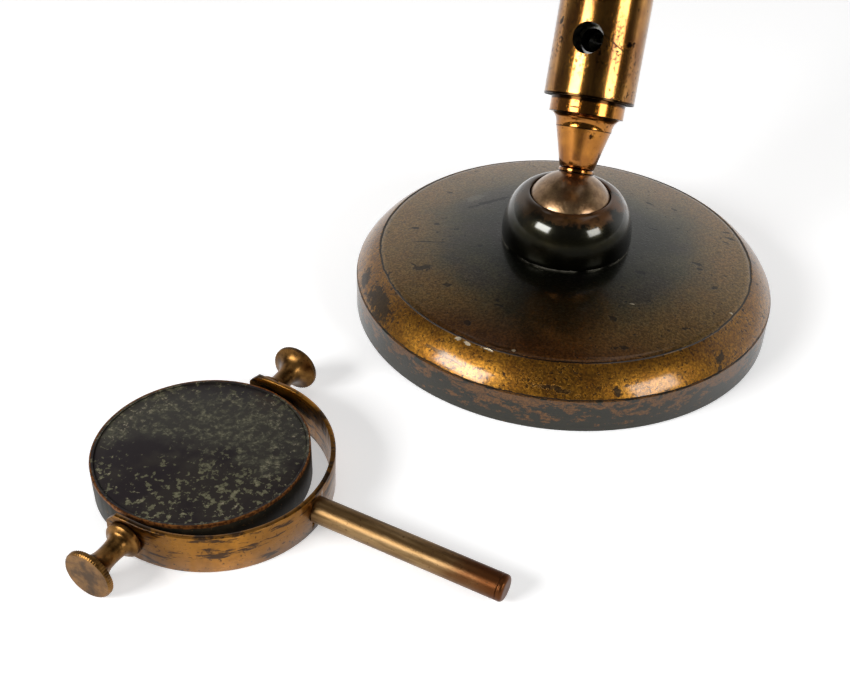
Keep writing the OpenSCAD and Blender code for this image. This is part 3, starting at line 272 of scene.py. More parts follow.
def foot_finish():
    """Old lacquer on brass: a dark top, a golden shoulder and a rubbed band, with dirt, spots and chips"""
    made, tree, shader = new_finish("foot_lacquer", Coat_Weight=0.6, Coat_Roughness=0.13)
    places = on_piece(tree)
    _, forward, level = parts_of(tree, places)
    reach = reach_of(tree, places)
    cloud = grain(tree, places, 45, 4, 0.55)
    patch = grain(tree, places, 150, 7, 0.68)
    fine = grain(tree, places, 1500, 4, 0.7)
    dots = from_to(tree, grain(tree, places, 1000, 4, 0.6), 0.57, 0.63)
    ragged = swing(tree, grain(tree, places, 620, 6, 0.7), 3.6)
    # the top: grey-green round the ball with a purple bloom, golden brown further out, redder in front
    wavy = plus(tree, reach, swing(tree, cloud, 0.022))
    bloom = from_to(tree, grain(tree, places, 60, 3), 0.46, 0.62)
    bloom = times(tree, bloom, around(tree, reach, 0.027, 0.012))
    redder = from_to(tree, plus(tree, forward, times(tree, cloud, 0.02)), -0.022, -0.04)
    brown = laid_over(tree, redder, colour(140, 110, 62), colour(112, 70, 30))
    top = laid_over(tree, from_to(tree, wavy, 0.02, 0.036), colour(42, 44, 34), colour(88, 82, 58))
    top = laid_over(tree, bloom, top, colour(58, 48, 52), 0.45)
    top = laid_over(tree, from_to(tree, wavy, 0.032, 0.05), top, brown)
    # painted dark reflection: a soft, nearly black patch on the top in front of the ball, standing in for the dim
    # room mirrored there
    painted_dark_reflection = mark(tree, places, (3, -33, 19.5), (15, 14), 10, times(tree, ragged, 0.15), soft=0.45)
    top = laid_over(tree, painted_dark_reflection, top, colour(30, 28, 8), 0.75)
    mottle = times(tree, from_to(tree, patch, 0.4, 0.62), from_to(tree, reach, 0.03, 0.048))
    top = laid_over(tree, mottle, top, colour(142, 98, 48), 0.35)
    # the shoulder: golden lacquer, with bare dark metal on the left and two long scratches in front
    golden = laid_over(tree, from_to(tree, patch, 0.3, 0.72), colour(128, 82, 20), colour(168, 116, 34))
    bare = marks(tree, places, 13, bare_patches, ragged)
    scratch = most(tree, mark(tree, places, (-20.8, -53.8, 13.5), (6.2, 0.4), -23, times(tree, ragged, 0.6)),
                   mark(tree, places, (9.5, -57.6, 12.5), (5.4, 0.45), 5, ragged))
    golden = laid_over(tree, bare, golden, colour(38, 36, 28), 0.85)
    golden = laid_over(tree, scratch, golden, colour(52, 50, 42), 0.6)
    golden = laid_over(tree, dots, golden, colour(48, 30, 12), 0.8)
    shoulder = from_to(tree, reach, edge_r * MM, (edge_r + 0.3) * MM)
    skin = laid_over(tree, shoulder, top, golden)
    # the band: dark grey-green, with ragged brown lacquer left along its upper half
    low_patch = grain(tree, on_piece(tree, stretch=(1, 1, 2.2)), 190, 8, 0.72)
    kept = from_to(tree, plus(tree, low_patch, times(tree, level, 18.0)), 0.615, 0.64)
    band = laid_over(tree, kept, colour(34, 32, 16), colour(112, 72, 26))
    band = laid_over(tree, dots, band, colour(26, 26, 20), 0.4)
    on_band = from_to(tree, level, (band_h + 0.15) * MM, (band_h - 0.15) * MM)
    skin = laid_over(tree, on_band, skin, band)
    # fine grain, dark spots, a pale smear and the dirt that lies in the two turned lines
    skin = laid_over(tree, from_to(tree, fine, 0.6, 0.42), skin, colour(24, 18, 8), 0.55)
    crowd = times(tree, from_to(tree, grain(tree, places, 40, 2), 0.4, 0.6), 0.02)
    specks = from_to(tree, plus(tree, grain(tree, places, 720, 3, 0.6), crowd), 0.675, 0.7)
    blots = from_to(tree, plus(tree, grain(tree, places, 330, 3, 0.55), crowd), 0.685, 0.71)
    spots = most(tree, blots, specks, marks(tree, places, 20, dark_spots, ragged))
    skin = laid_over(tree, spots, skin, colour(22, 20, 18), 0.75)
    smear = mark(tree, places, (-31, 15, 20.4), (3.4, 1.5), 50, ragged)
    skin = laid_over(tree, smear, skin, colour(120, 118, 104), 0.35)
    dirt_edge = swing(tree, patch, 0.0018)
    dirt_and_painted_shadow = most(tree, around(tree, plus(tree, reach, dirt_edge), (edge_r - 0.1) * MM, 0.33 * MM),
                around(tree, plus(tree, level, dirt_edge), (band_h + 0.1) * MM, 0.3 * MM))
    skin = laid_over(tree, dirt_and_painted_shadow, skin, colour(20, 20, 15), 0.88)
    # lacquer knocked off the upper edge, down to bright metal
    chips = marks(tree, places, 17.2, edge_chips, ragged)
    skin = laid_over(tree, chips, skin, colour(222, 208, 178), 0.9)
    dull = most(tree, on_band, spots, dirt_and_painted_shadow, bare)
    gloss = plus(tree, 0.24, times(tree, shoulder, 0.06), times(tree, fine, 0.14), times(tree, dull, 0.2))
    linked(tree, shader, Base_Color=skin, Roughness=gloss,
           Metallic=less(tree, 0.94, times(tree, on_band, 0.35)))
    raised = plus(tree, fine, times(tree, patch, 0.4))
    sunk = times(tree, most(tree, dots, spots, chips, scratch), 0.6)
    dented(tree, shader, less(tree, raised, sunk), 0.4, 0.00012)
    return made


foot = turned("foot", [
    (weight_r, 0), (foot_r - foot_ease, 0), (foot_r, foot_ease), (foot_r, band_h - band_line),
    (foot_r - band_line, band_h - 0.1), *bow((foot_r, band_h), (edge_r, edge_h), shoulder_rise, 24),
    (edge_r - 0.1, edge_h - edge_line), (edge_r - edge_line, edge_h - edge_line),
    *bow((edge_r, edge_h), (socket_foot_r, foot_crown), crown_rise, 40), (socket_foot_r, foot_crown),
    (socket_bore_r, foot_crown), (socket_bore_r, socket_bore_h), (cup_bore_r, socket_bore_h),
    (cup_bore_r, hub_foot), (hub_r, hub_foot), (hub_r, weight_h), (weight_r, weight_h)
], turns=320)
foot.data.materials.append(foot_finish())
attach(foot, "foot")
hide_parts("foot_shell")


# The iron weight, its plate and the plate's screws: cast and turned pieces that close the foot from below.
# They keep the solids' own shape, as do the screws and springs elsewhere.
def plain_metal(name, light, dark, metallic=1.0, rough=0.4, coat=0.0):
    """Plain turned metal: two tones, fine pits and an uneven gloss"""
    per_metre, uneven = 260, 0.15
    made, tree, shader = new_finish(name, Metallic=metallic, Coat_Weight=coat, Coat_Roughness=0.2)
    places = on_piece(tree)
    cloud = grain(tree, places, per_metre, 5, 0.6)
    pits_and_painted_shadow = from_to(tree, grain(tree, places, per_metre * 6, 2, 0.5), 0.66, 0.74)
    darker = tuple(0.35 * c for c in dark[:3]) + (1,)
    skin = laid_over(tree, from_to(tree, cloud, 0.35, 0.68), dark, light)
    skin = laid_over(tree, pits_and_painted_shadow, skin, darker, 0.6)
    gloss = plus(tree, rough - uneven / 2, times(tree, cloud, uneven))
    linked(tree, shader, Base_Color=skin, Roughness=gloss)
    dented(tree, shader, cloud, 0.1)
    return made


def dress(finish, *names, eased=True):
    """Gives solids of the frame their finish, and eased edges or, if they are turned, even round shading"""
    corner = math.radians(35)
    for name in names:
        solid = nodes[name]
        solid.data.materials.clear()
        solid.data.materials.append(finish)
        weld = solid.modifiers.new("weld", "WELD")
        weld.merge_threshold = 1e-6
        if eased:
            edges = solid.modifiers.new("eased_edges", "BEVEL")
            edges.width = 0.12 * MM
            edges.segments = 2
            edges.limit_method = "ANGLE"
            edges.angle_limit = corner
            edges.harden_normals = True
        else:
            edges = solid.modifiers.new("crisp_edges", "EDGE_SPLIT")
            edges.split_angle = corner
        for polygon in solid.data.polygons:
            polygon.use_smooth = True


cast_iron = plain_metal("cast_iron", colour(82, 80, 78), colour(48, 46, 45), metallic=0.4, rough=0.65)
dark_brass = plain_metal("dark_brass", colour(150, 112, 60), colour(104, 76, 38), rough=0.35)
steel = plain_metal("steel", colour(150, 150, 150), colour(96, 94, 92), rough=0.32)
dress(cast_iron, "foot_weight")
dress(dark_brass, "foot_plate", "seat_screw")
dress(steel, "foot_plate_screws", "seat_spring")

# The socket: a bronze ring screwed into the foot, with a high rounded lip that holds the ball. Its dark
# olive lacquer is glossy, and brown metal shows where the lip is rubbed.
ball_z = joints["pillar_lean"]["pos_m"][2] / MM
belly_r, belly_h = 18.5, foot_crown + 1.6
round_h = 13
lip_r, lip_h = 11.7, belly_h + round_h
thread_r, thread_h = 13.6, 10.15
socket_h = foot_crown + 0.02
mouth_r, cup_r, cup_h = 11.35, 11.1, ball_z - 7.2
ball_room_r = 13.2


def arc(x, z, r, start, end, steps, height=None):
    """Points of an outline on a round or upright oval arc, by angle in degrees from the outward direction"""
    angles = [math.radians(start + (end - start) * i / steps) for i in range(steps + 1)]
    return [(x + r * math.cos(a), z + (height or r) * math.sin(a)) for a in angles]


socket = turned("socket", [
    (cup_r, thread_h), (thread_r, thread_h), (thread_r, socket_h),
    (socket_foot_r, socket_h), (socket_foot_r + 0.12, foot_crown + 0.3),
    *arc(lip_r, belly_h, belly_r - lip_r, 0, 90, 30, round_h), (mouth_r + 0.1, lip_h - 0.1),
    (mouth_r, lip_h - 0.3), *arc(0, ball_z, ball_room_r, 30, -32, 20), (cup_r, cup_h)
])


def socket_finish():
    """Glossy olive lacquer, rubbed brown on the right of the lip, with a painted highlight along the seam at
    the foot and painted shade on its lower part
    """
    made, tree, shader = new_finish(
        "socket_lacquer", Metallic=0.8, Specular_IOR_Level=0.2, Coat_Roughness=0.1)
    places = on_piece(tree)
    across, back, level = parts_of(tree, places)
    cloud = grain(tree, places, 160, 5, 0.6)
    fleck = from_to(tree, grain(tree, places, 1100, 3, 0.6), 0.64, 0.72)
    high = from_to(tree, plus(tree, level, swing(tree, cloud, 0.012)), 0.0335, 0.0362)
    right = from_to(tree, plus(tree, across, times(tree, back, -0.4)), -0.004, 0.014)
    rubbed = times(tree, high, plus(tree, times(tree, right, 0.7), 0.3))
    # painted shade: below the lip's round the lacquer is darkened almost to black, for the dark foot that the
    # lower part mirrors
    under = from_to(tree, level, 0.031, 0.0275)
    # painted highlight: a broken pale line along the seam where the socket meets the foot
    seam = from_to(tree, level, (foot_crown + 0.42) * MM, (foot_crown + 0.3) * MM)
    wear_and_painted_highlight = times(tree, seam, from_to(tree, grain(tree, places, 90, 3), 0.42, 0.52))
    skin = laid_over(tree, from_to(tree, cloud, 0.4, 0.7), colour(26, 25, 14), colour(44, 40, 22))
    skin = laid_over(tree, rubbed, skin, colour(104, 70, 40))
    skin = laid_over(tree, fleck, skin, colour(12, 10, 6), 0.5)
    skin = laid_over(tree, under, skin, colour(9, 9, 4), 0.85)
    skin = laid_over(tree, wear_and_painted_highlight, skin, colour(206, 200, 184))
    glossy = from_to(tree, plus(tree, level, times(tree, cloud, 0.002)), 0.0305, 0.0345)
    linked(tree, shader, Base_Color=skin, Coat_Weight=plus(tree, 0.02, times(tree, glossy, 0.88)),
           Roughness=plus(tree, 0.22, times(tree, rubbed, 0.25)))
    dented(tree, shader, cloud, 0.12)
    return made


socket.data.materials.append(socket_finish())
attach(socket, "foot")
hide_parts("ball_socket")

# The ball turns between the lip and a cup that a dished spring presses up. Both are turned bronze, worn
# bright where they rub. The pillar stands on a flat on the ball, and is screwed into a hole in it.
pillar_joint = joints["pillar_turn"]
pillar_up = Vector(pillar_joint["axis"]).normalized()
pillar_right = Vector(joints["pinion_turn"]["axis"]).normalized()
pillar_back = pillar_up.cross(pillar_right)
pillar_turn = Matrix((pillar_right, pillar_back, pillar_up)).transposed()
pillar = Matrix.Translation(Vector(pillar_joint["pos_m"])) @ pillar_turn.to_4x4()
to_pillar = pillar.inverted()
ball_r = 13.15
root_r = 4.95
root_angle = math.degrees(math.acos(root_r / ball_r))
ball_flat = math.sqrt(ball_r ** 2 - root_r ** 2)
tapped_r, tapped_h = 4.05, ball_flat - 6.3
ball = turned("ball", [
    *arc(0, 0, ball_r, -90, root_angle, 60), (tapped_r, ball_flat), (tapped_r, tapped_h), (0, tapped_h)
], turns=160, closed=False, place=pillar)


def ball_finish():
    """Bronze worn smooth, in two tones"""
    made, tree, shader = new_finish("ball_bronze", Metallic=1.0, Coat_Weight=0.5, Coat_Roughness=0.16)
    places = on_piece(tree)
    cloud = grain(tree, places, 260, 5, 0.65)
    fleck = grain(tree, places, 1500, 2, 0.6)
    skin = laid_over(tree, from_to(tree, cloud, 0.36, 0.66), colour(128, 98, 68), colour(170, 136, 98))
    skin = laid_over(tree, from_to(tree, fleck, 0.6, 0.72), skin, colour(88, 64, 46), 0.45)
    linked(tree, shader, Base_Color=skin, Roughness=plus(tree, 0.24, times(tree, cloud, 0.12)))
    dented(tree, shader, plus(tree, cloud, fleck), 0.3)
    return made


ball_bronze = ball_finish()
ball.data.materials.append(ball_bronze)
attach(ball, "ball")
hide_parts("ball")
dress(ball_bronze, "ball_seat")


# The pillar: a turned neck that rises from a fine ring through a cone and a hollow curve to a collar, and
# a lacquered sleeve round its core. The lacquer is golden, streaked along the pillar and full of pits.
sleeve_r = 12.7
neck_foot, neck_top, collar_foot, sleeve_foot = 12.2, 24.5, 28.3, 32.7


def core(tree, places):
    """Where the neck's core is hidden in the sleeve"""
    return from_to(tree, parts_of(tree, places)[2], sleeve_foot * MM, (sleeve_foot + 0.1) * MM)


def bore(tree, places):
    """The inside of the sleeve"""
    return from_to(tree, reach_of(tree, places), (sleeve_r - 0.15) * MM, (sleeve_r - 0.3) * MM)


def pillar_finish(name, light, dark, streaks, pitting, rough, hidden=None, lines=(), scratches=()):
    """Streaked golden lacquer full of pits: hidden finds its inside, which is painted dark as painted shade;
    lines are dark turned lines by height and half their width, dirt in the grooves and painted shadow
    where the sleeve sits on the collar; and scratches are marks on its front"""
    made, tree, shader = new_finish(name, Metallic=1.0, Coat_Roughness=0.12)
    places = on_piece(tree, to_pillar)
    across, back, level = parts_of(tree, places)
    cloud = grain(tree, places, 90, 4, 0.6)
    streak = grain(tree, on_piece(tree, to_pillar, stretch=(1, 1, 0.12)), 420, 4, 0.6)
    fleck = grain(tree, places, 1150, 3, 0.6)
    spot = grain(tree, places, 560, 4, 0.6)
    crowd = from_to(tree, grain(tree, places, 75, 2), 0.4, 0.6)
    fine_pits = times(tree, from_to(tree, fleck, 0.6 - pitting, 0.65 - pitting), crowd)
    dirt_and_painted_shadow = [around(tree, level, height * MM, half * MM) for height, half in lines]
    pits_and_painted_shadow = most(tree, fine_pits, from_to(tree, spot, 0.67, 0.69), *dirt_and_painted_shadow)
    if scratches:
        front = node(tree, "CombineXYZ", {0: across, 1: level}).outputs[0]
        drawn = marks(tree, front, 0, scratches, swing(tree, fleck, 3.0))
        pits_and_painted_shadow = most(tree, pits_and_painted_shadow, times(tree, drawn, from_to(tree, back, 0.001, -0.001)))
    skin = laid_over(tree, from_to(tree, cloud, 0.35, 0.7), dark, light)
    skin = laid_over(tree, from_to(tree, streak, 0.5, 0.68), skin, colour(84, 46, 14), streaks)
    skin = laid_over(tree, pits_and_painted_shadow, skin, colour(24, 16, 10), 0.94)
    gloss = plus(tree, rough, times(tree, streak, 0.06))
    # painted shade: the inside of the sleeve and the neck's core within it, seen only through the peg hole, are
    # painted dark
    if hidden:
        deep = hidden(tree, places)
        painted_inner_shade = laid_over(tree, from_to(tree, spot, 0.45, 0.6), colour(22, 21, 14), colour(70, 68, 54))
        skin = laid_over(tree, deep, skin, painted_inner_shade)
        gloss = plus(tree, gloss, times(tree, deep, 0.4))
    sound = less(tree, 1.0, pits_and_painted_shadow)
    linked(tree, shader, Base_Color=skin, Roughness=gloss, Coat_Weight=times(tree, sound, 0.45))
    dented(tree, shader, times(tree, pits_and_painted_shadow, -1.0), 0.12)
    return made


# dark turned lines on the neck: dirt in its grooves, and the widest, at the sleeve's foot, a painted shadow under
# the sleeve
neck_lines = ((neck_foot + 0.1, 0.3), (neck_foot + 1.35, 0.2), (neck_top, 0.16), (collar_foot, 0.16),
              (sleeve_foot, 1.3))
neck_scratches = ((-0.7, 29.8, 1.5, 0.2, 0), (0.7, 31.4, 1.0, 0.22, 90), (4.1, 22.6, 0.8, 0.5, 60))
sleeve_scratches = ((6.6, 48.0, 5.0, 0.18, -33), (-8.9, 52.3, 1.0, 0.5, 60), (10.5, 48.2, 1.1, 0.7, 40))
neck_lacquer = pillar_finish(
    "neck_lacquer", colour(182, 118, 34), colour(140, 84, 20), streaks=0.4, pitting=0.01, rough=0.12,
    hidden=core, lines=neck_lines, scratches=neck_scratches)
# the sleeve's one dark line, at its foot, is a painted shadow where it sits on the collar
sleeve_lacquer = pillar_finish(
    "sleeve_lacquer", colour(176, 124, 52), colour(128, 80, 26), streaks=0.7, pitting=0.045, rough=0.13,
    hidden=bore, lines=((sleeve_foot, 0.7),), scratches=sleeve_scratches)
dress(neck_lacquer, "pillar_neck", eased=False)
dress(sleeve_lacquer, "pillar_sleeve", eased=False)

# The stage hangs on the pillar's tenon between a coved flange and the guide bar. The plate and its clips
# are blackened brass, and the wheel of stops below, of dark brass, turns on a shouldered steel screw.
black_brass = plain_metal(
    "black_brass", colour(52, 50, 50), colour(34, 32, 33), metallic=0.5, rough=0.42, coat=0.3)
golden_brass = pillar_finish(
    "golden_brass", colour(190, 132, 50), colour(150, 96, 30), streaks=0.4, pitting=0.01, rough=0.12)
dress(golden_brass, "stage_flange", "guide_post", eased=False)
dress(black_brass, "stage_plate", "stage_clip_left", "stage_clip_right")
dress(dark_brass, "wheel_of_stops")
dress(steel, "wheel_screw", "column_screws", "pad_screws", "fine_screw", "fine_spring")

# The arm and the fine focus: a barrel that slides on the three-cornered bar, closed by a cap, with the
# arm and its pad in one casting. They and the body's jacket are lacquered brass; the pinion is steel.
dress(golden_brass, "arm", "barrel_cap", "body_jacket", eased=False)
dress(dark_brass, "pinion_bush")
dress(steel, "pinion_shaft")


# The milled heads of the fine and coarse focus: turned brass, with fine ribs rolled into the rims.
def milled(name, outline, rim_r, ribs, depth, place):
    """A turned head whose rim is ribbed: the rim's points are drawn in by a wave, four points to a rib"""
    made = turned(name, outline, turns=ribs * 4, closed=False)
    work = bmesh.new()
    work.from_mesh(made.data)
    for point in work.verts:
        reach = math.hypot(point.co.x, point.co.y) / MM
        if reach > rim_r - 0.05:
            wave = 0.5 - 0.5 * math.cos(math.atan2(point.co.y, point.co.x) * ribs)
            point.co.xy *= 1 - depth * wave / reach
    bmesh.ops.transform(work, matrix=place, verts=work.verts)
    work.to_mesh(made.data)
    work.free()
    return made


def head_outline(r, h, lip):
    """A milled head from its back to its face, with a turned ring sunk in the face"""
    outer, inner, slope = 0.8, 0.34, 0.06
    rim = [(r, lip + (h - 2 * lip) * i / 6) for i in range(7)]
    ring = [(outer * r, h), ((outer - slope) * r, h - lip), ((inner + slope) * r, h - lip), (inner * r, h)]
    return [(0, 0), (r - lip, 0), *rim, (r - lip, h), *ring, (0, h)]


rib_depth = 0.28
coarse_r, coarse_h, coarse_lip, coarse_ribs = 15, 8, 0.96, 72
fine_r, fine_h, fine_lip, fine_ribs, fine_rise = 13, 10, 1.2, 64, 4
pinion_pos = Vector(joints["pinion_turn"]["pos_m"])
for name, side in (("milled_head_left", -1), ("milled_head_right", 1)):
    low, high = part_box(name)
    axis = pillar_right * side
    middle = axis.dot((Vector(low) + Vector(high)) / 2 - pinion_pos)
    head_back = pinion_pos + axis * (middle - coarse_h / 2 * MM)
    rot = Vector((0, 0, 1)).rotation_difference(axis).to_matrix().to_4x4()
    head = milled(name + "_ribbed", head_outline(coarse_r, coarse_h, coarse_lip), coarse_r, coarse_ribs,
                  rib_depth, Matrix.Translation(head_back) @ rot)
    head.data.materials.append(golden_brass)
    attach(head, "pinion")
    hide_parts(name)

fine_pos = Vector(joints["fine_turn"]["pos_m"])
fine_head = milled("fine_head_ribbed", head_outline(fine_r, fine_h, fine_lip), fine_r, fine_ribs, rib_depth,
                   Matrix.Translation(fine_pos + pillar_up * fine_rise * MM) @ pillar_turn.to_4x4())
fine_head.data.materials.append(golden_brass)
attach(fine_head, "fine_adjuster")
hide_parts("fine_head")

# The body: a drawn tube with its rack soldered on behind, a nosepiece and an objective below, and a
# draw tube and eyepiece above. Lacquered brass, with a blackened eyepiece cap and lenses of clear glass.
glass, glass_tree, glass_shader = new_finish(
    "lens_glass", Base_Color=(0.93, 0.96, 0.96, 1), IOR=1.52, Transmission_Weight=1.0)
lens_dust = grain(glass_tree, on_piece(glass_tree), 300, 3)
linked(glass_tree, glass_shader, Roughness=times(glass_tree, lens_dust, 0.06))
dress(golden_brass, "body_tube", "tube_collar", "draw_tube", "eyepiece_tube", "nosepiece",
      "objective_barrel", "objective_front", eased=False)
dress(dark_brass, "rack", "tube_bush")
dress(black_brass, "eyepiece_cap", "field_stop")
dress(glass, "eye_lens", "field_lens", "objective_back_lens", "objective_front_lens")

# The mirror's fork: a flat brass strip bent to a U, its ends clipped, with the round stem let into the
# bend. The stem plugs into the pillar's sleeve. Its lacquer is patchy, and the stem's has worn off.
fork_r = 29.2
fork_pos = Vector(joints["mirror_tip"]["pos_m"])
fork_back = Vector(joints["mirror_tip"]["axis"]).normalized()
fork_along = Vector(mounts["mirror_peg"]["axis"]).normalized()
fork_up = fork_along.cross(fork_back)
fork_place = Matrix.Translation(fork_pos) @ Matrix((fork_along, fork_back, fork_up)).transposed().to_4x4()
to_fork = fork_place.inverted()
pin_r, pin_l = 2, 1.2
stem_r, stem_root, stem_end, stem_ease = 3.2, 32.6, 81.0, 0.9
groove_at, groove_w = stem_end - 1.6, 0.15


def fork_finish():
    """Golden lacquer with dark streaks round the strip, brown at the near end and the bend, and painted shade
    on its inner face
    """
    made, tree, shader = new_finish("fork_lacquer", Metallic=1.0, Coat_Weight=0.3, Coat_Roughness=0.15)
    places = on_piece(tree, to_fork)
    along, back, _ = parts_of(tree, places)
    cloud = grain(tree, places, 90, 4, 0.6)
    streak = grain(tree, on_piece(tree, to_fork, stretch=(1, 1, 5)), 110, 5, 0.65)
    fleck = grain(tree, places, 1200, 2, 0.5)
    ends = plus(tree, from_to(tree, back, -0.021, -0.03), from_to(tree, along, 0.022, 0.029))
    # painted shade: the strip's inner face, towards the mirror, is darkened
    inside = from_to(tree, reach_of(tree, places), (fork_r - 1.35) * MM, (fork_r - 1.5) * MM)
    skin = laid_over(tree, from_to(tree, cloud, 0.4, 0.62), colour(128, 84, 22), colour(174, 116, 34))
    skin = laid_over(tree, from_to(tree, streak, 0.53, 0.6), skin, colour(44, 28, 12), 0.9)
    skin = laid_over(tree, times(tree, ends, cloud), skin, colour(40, 26, 12), 0.9)
    skin = laid_over(tree, inside, skin, colour(24, 18, 10), 0.8)
    skin = laid_over(tree, from_to(tree, fleck, 0.62, 0.7), skin, colour(40, 26, 14), 0.7)
    linked(tree, shader, Base_Color=skin, Roughness=plus(tree, 0.16, times(tree, streak, 0.3)))
    dented(tree, shader, streak, 0.15)
    return made


def stem_finish():
    """Bare drawn brass, streaked along the stem and brown towards its tip"""
    made, tree, shader = new_finish("stem_brass", Metallic=1.0)
    places = on_piece(tree, to_fork)
    streak = grain(tree, on_piece(tree, to_fork, stretch=(0.12, 1, 1)), 500, 4, 0.6)
    cloud = grain(tree, places, 160, 4, 0.6)
    fleck = grain(tree, places, 1500, 2, 0.5)
    tip = from_to(tree, plus(tree, parts_of(tree, places)[0], times(tree, cloud, 0.02)), 0.068, 0.088)
    skin = laid_over(tree, from_to(tree, streak, 0.4, 0.65), colour(112, 86, 54), colour(150, 122, 84))
    skin = laid_over(tree, tip, skin, colour(92, 54, 28))
    skin = laid_over(tree, from_to(tree, fleck, 0.64, 0.72), skin, colour(60, 40, 24), 0.6)
    linked(tree, shader, Base_Color=skin, Roughness=plus(tree, 0.28, times(tree, streak, 0.24)))
    dented(tree, shader, streak, 0.15)
    return made


dress(fork_finish(), "mirror_fork")
stem = turned("stem", [
    (0, stem_root - pin_l), (pin_r, stem_root - pin_l), (pin_r, stem_root), (stem_r, stem_root),
    (stem_r, groove_at - groove_w), (stem_r - groove_w, groove_at), (stem_r, groove_at + groove_w),
    *arc(stem_r - stem_ease, stem_end - stem_ease, stem_ease, 0, 90, 8), (0, stem_end)
], turns=96, closed=False, place=fork_place @ Matrix.Rotation(math.radians(90), 4, "Y"))
stem.data.materials.append(stem_finish())
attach(stem, "fork")
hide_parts("mirror_stem")


# The pivot screws: each is turned from one bar, with a milled head, a waisted neck, a shoulder against
# the fork and a point that the mirror swings on.
def pivot_finish():
    """Bare brass gone brown, in two tones with dark pits"""
    made, tree, shader = new_finish("pivot_brass", Metallic=1.0)
    places = on_piece(tree)
    cloud = grain(tree, places, 220, 5, 0.6)
    fleck = grain(tree, places, 1500, 2, 0.5)
    skin = laid_over(tree, from_to(tree, cloud, 0.38, 0.66), colour(70, 48, 22), colour(134, 96, 50))
    skin = laid_over(tree, from_to(tree, fleck, 0.62, 0.72), skin, colour(56, 38, 24), 0.6)
    linked(tree, shader, Base_Color=skin, Roughness=plus(tree, 0.22, times(tree, cloud, 0.24)))
    dented(tree, shader, cloud, 0.2)
    return made


pivot_brass = pivot_finish()
knob_r, knob_foot, knob_top, knob_ribs, knob_depth = 6.2, 12.0, 13.4, 60, 0.16
spike = [(0, -4.9), (0.2, -4.9), (1.2, -1.7), (1.6, -1.7), (1.6, 0)]
shoulder = [(4.0, 0), (4.5, 0.5), (4.5, 1.4), (3.9, 2.0), (3.55, 2.1)]
waist = [(3.2, 2.35), (2.85, 2.9), (2.62, 3.8), (2.5, 5.2), (2.5, 6.7), (2.58, 8.0), (2.9, 9.3),
         (3.5, 10.4), (4.4, 11.3), (5.5, 11.75)]
knob = [*[(knob_r, knob_foot + i / 4) for i in range(5)], (knob_r - 0.4, knob_top), (0, knob_top)]
for name, body, side in (("pivot_screw_front", "pivot_front", -1), ("pivot_screw_rear", "pivot_rear", 1)):
    outward = Matrix.Rotation(math.radians(-90 * side), 4, "X")
    screw = milled(name + "_ribbed", spike + shoulder + waist + knob, knob_r, knob_ribs, knob_depth,
                   fork_place @ Matrix.Translation((0, side * fork_r * MM, 0)) @ outward)
    screw.data.materials.append(pivot_brass)
    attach(screw, body)
    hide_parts(name)

# The mirror: a shallow brass drum, blackened outside, with a flat glass on this face and a hollow one on
# the other. The silvering has gone black, and pale flakes of it are left; the rim shows a line of brass.
mirror_lean = 2.3
cell_r, face_t = 26.3, 4
to_mirror = (fork_place @ Matrix.Rotation(math.radians(-mirror_lean), 4, "Y")).inverted()


def old_mirror(tree, places):
    """The colour of the old mirror, black under flakes that lie close in a band across it, and its flakes"""
    band_slant = math.radians(-17)
    slanted = node(tree, "Mapping", {"Vector": places, "Rotation": (0, 0, band_slant)}).outputs[0]
    sideways, forward, _ = parts_of(tree, slanted)
    broad = grain(tree, places, 90, 4, 0.6)
    crumb = grain(tree, places, 1500, 5, 0.7)
    across = plus(tree, forward, swing(tree, broad, 0.03))
    close = around(tree, across, 0.009, 0.014)
    gone = times(tree, around(tree, across, -0.0035, 0.0055), from_to(tree, sideways, 0.006, -0.006))
    amount = plus(tree, grain(tree, places, 640, 7, 0.66), swing(tree, broad, 0.2),
                  times(tree, less(tree, close, gone), 0.06))
    flakes = from_to(tree, amount, 0.55, 0.585)
    thick = times(tree, from_to(tree, amount, 0.6, 0.68), from_to(tree, crumb, 0.45, 0.55))
    rim = times(tree, from_to(tree, reach_of(tree, places), 0.014, 0.024), from_to(tree, crumb, 0.57, 0.63))
    pale = laid_over(tree, close, colour(112, 110, 84), colour(78, 77, 64))
    skin = laid_over(tree, from_to(tree, broad, 0.4, 0.6), colour(33, 27, 29), colour(42, 37, 34))
    skin = laid_over(tree, close, skin, colour(70, 68, 58), 0.35)
    skin = laid_over(tree, flakes, skin, pale, 0.6)
    skin = laid_over(tree, thick, skin, colour(124, 120, 96), 0.6)
    return laid_over(tree, times(tree, flakes, rim), skin, colour(168, 154, 132), 0.8), flakes


def drum_finish():
    """Blackened brass with worn flecks, brown along its upper corner, with the old mirror on its face"""
    made, tree, shader = new_finish("drum_bronze", Specular_IOR_Level=0.2)
    places = on_piece(tree, to_mirror)
    level = parts_of(tree, places)[2]
    cloud = grain(tree, places, 150, 5, 0.6)
    fleck = grain(tree, places, 1300, 2, 0.5)
    side = laid_over(tree, from_to(tree, cloud, 0.4, 0.66), colour(24, 24, 18), colour(44, 38, 26))
    side = laid_over(tree, from_to(tree, fleck, 0.64, 0.72), side, colour(110, 80, 44), 0.5)
    on_face = from_to(tree, level, (face_t - 0.14) * MM, (face_t - 0.06) * MM)
    skin = laid_over(tree, on_face, side, old_mirror(tree, places)[0])
    corner = cell_r + face_t / 2
    out = plus(tree, reach_of(tree, places), times(tree, level, 0.5), swing(tree, cloud, 0.0008))
    wear_and_painted_highlight = from_to(tree, out, (corner - 0.5) * MM, (corner - 0.3) * MM)
    brown = laid_over(tree, from_to(tree, fleck, 0.4, 0.6), colour(84, 50, 24), colour(134, 84, 40))
    skin = laid_over(tree, wear_and_painted_highlight, skin, brown)
    linked(tree, shader, Base_Color=skin, Metallic=plus(tree, 0.15, times(tree, wear_and_painted_highlight, 0.6)),
           Roughness=plus(tree, 0.4, times(tree, cloud, 0.2)))
    dented(tree, shader, cloud, 0.15)
    return made


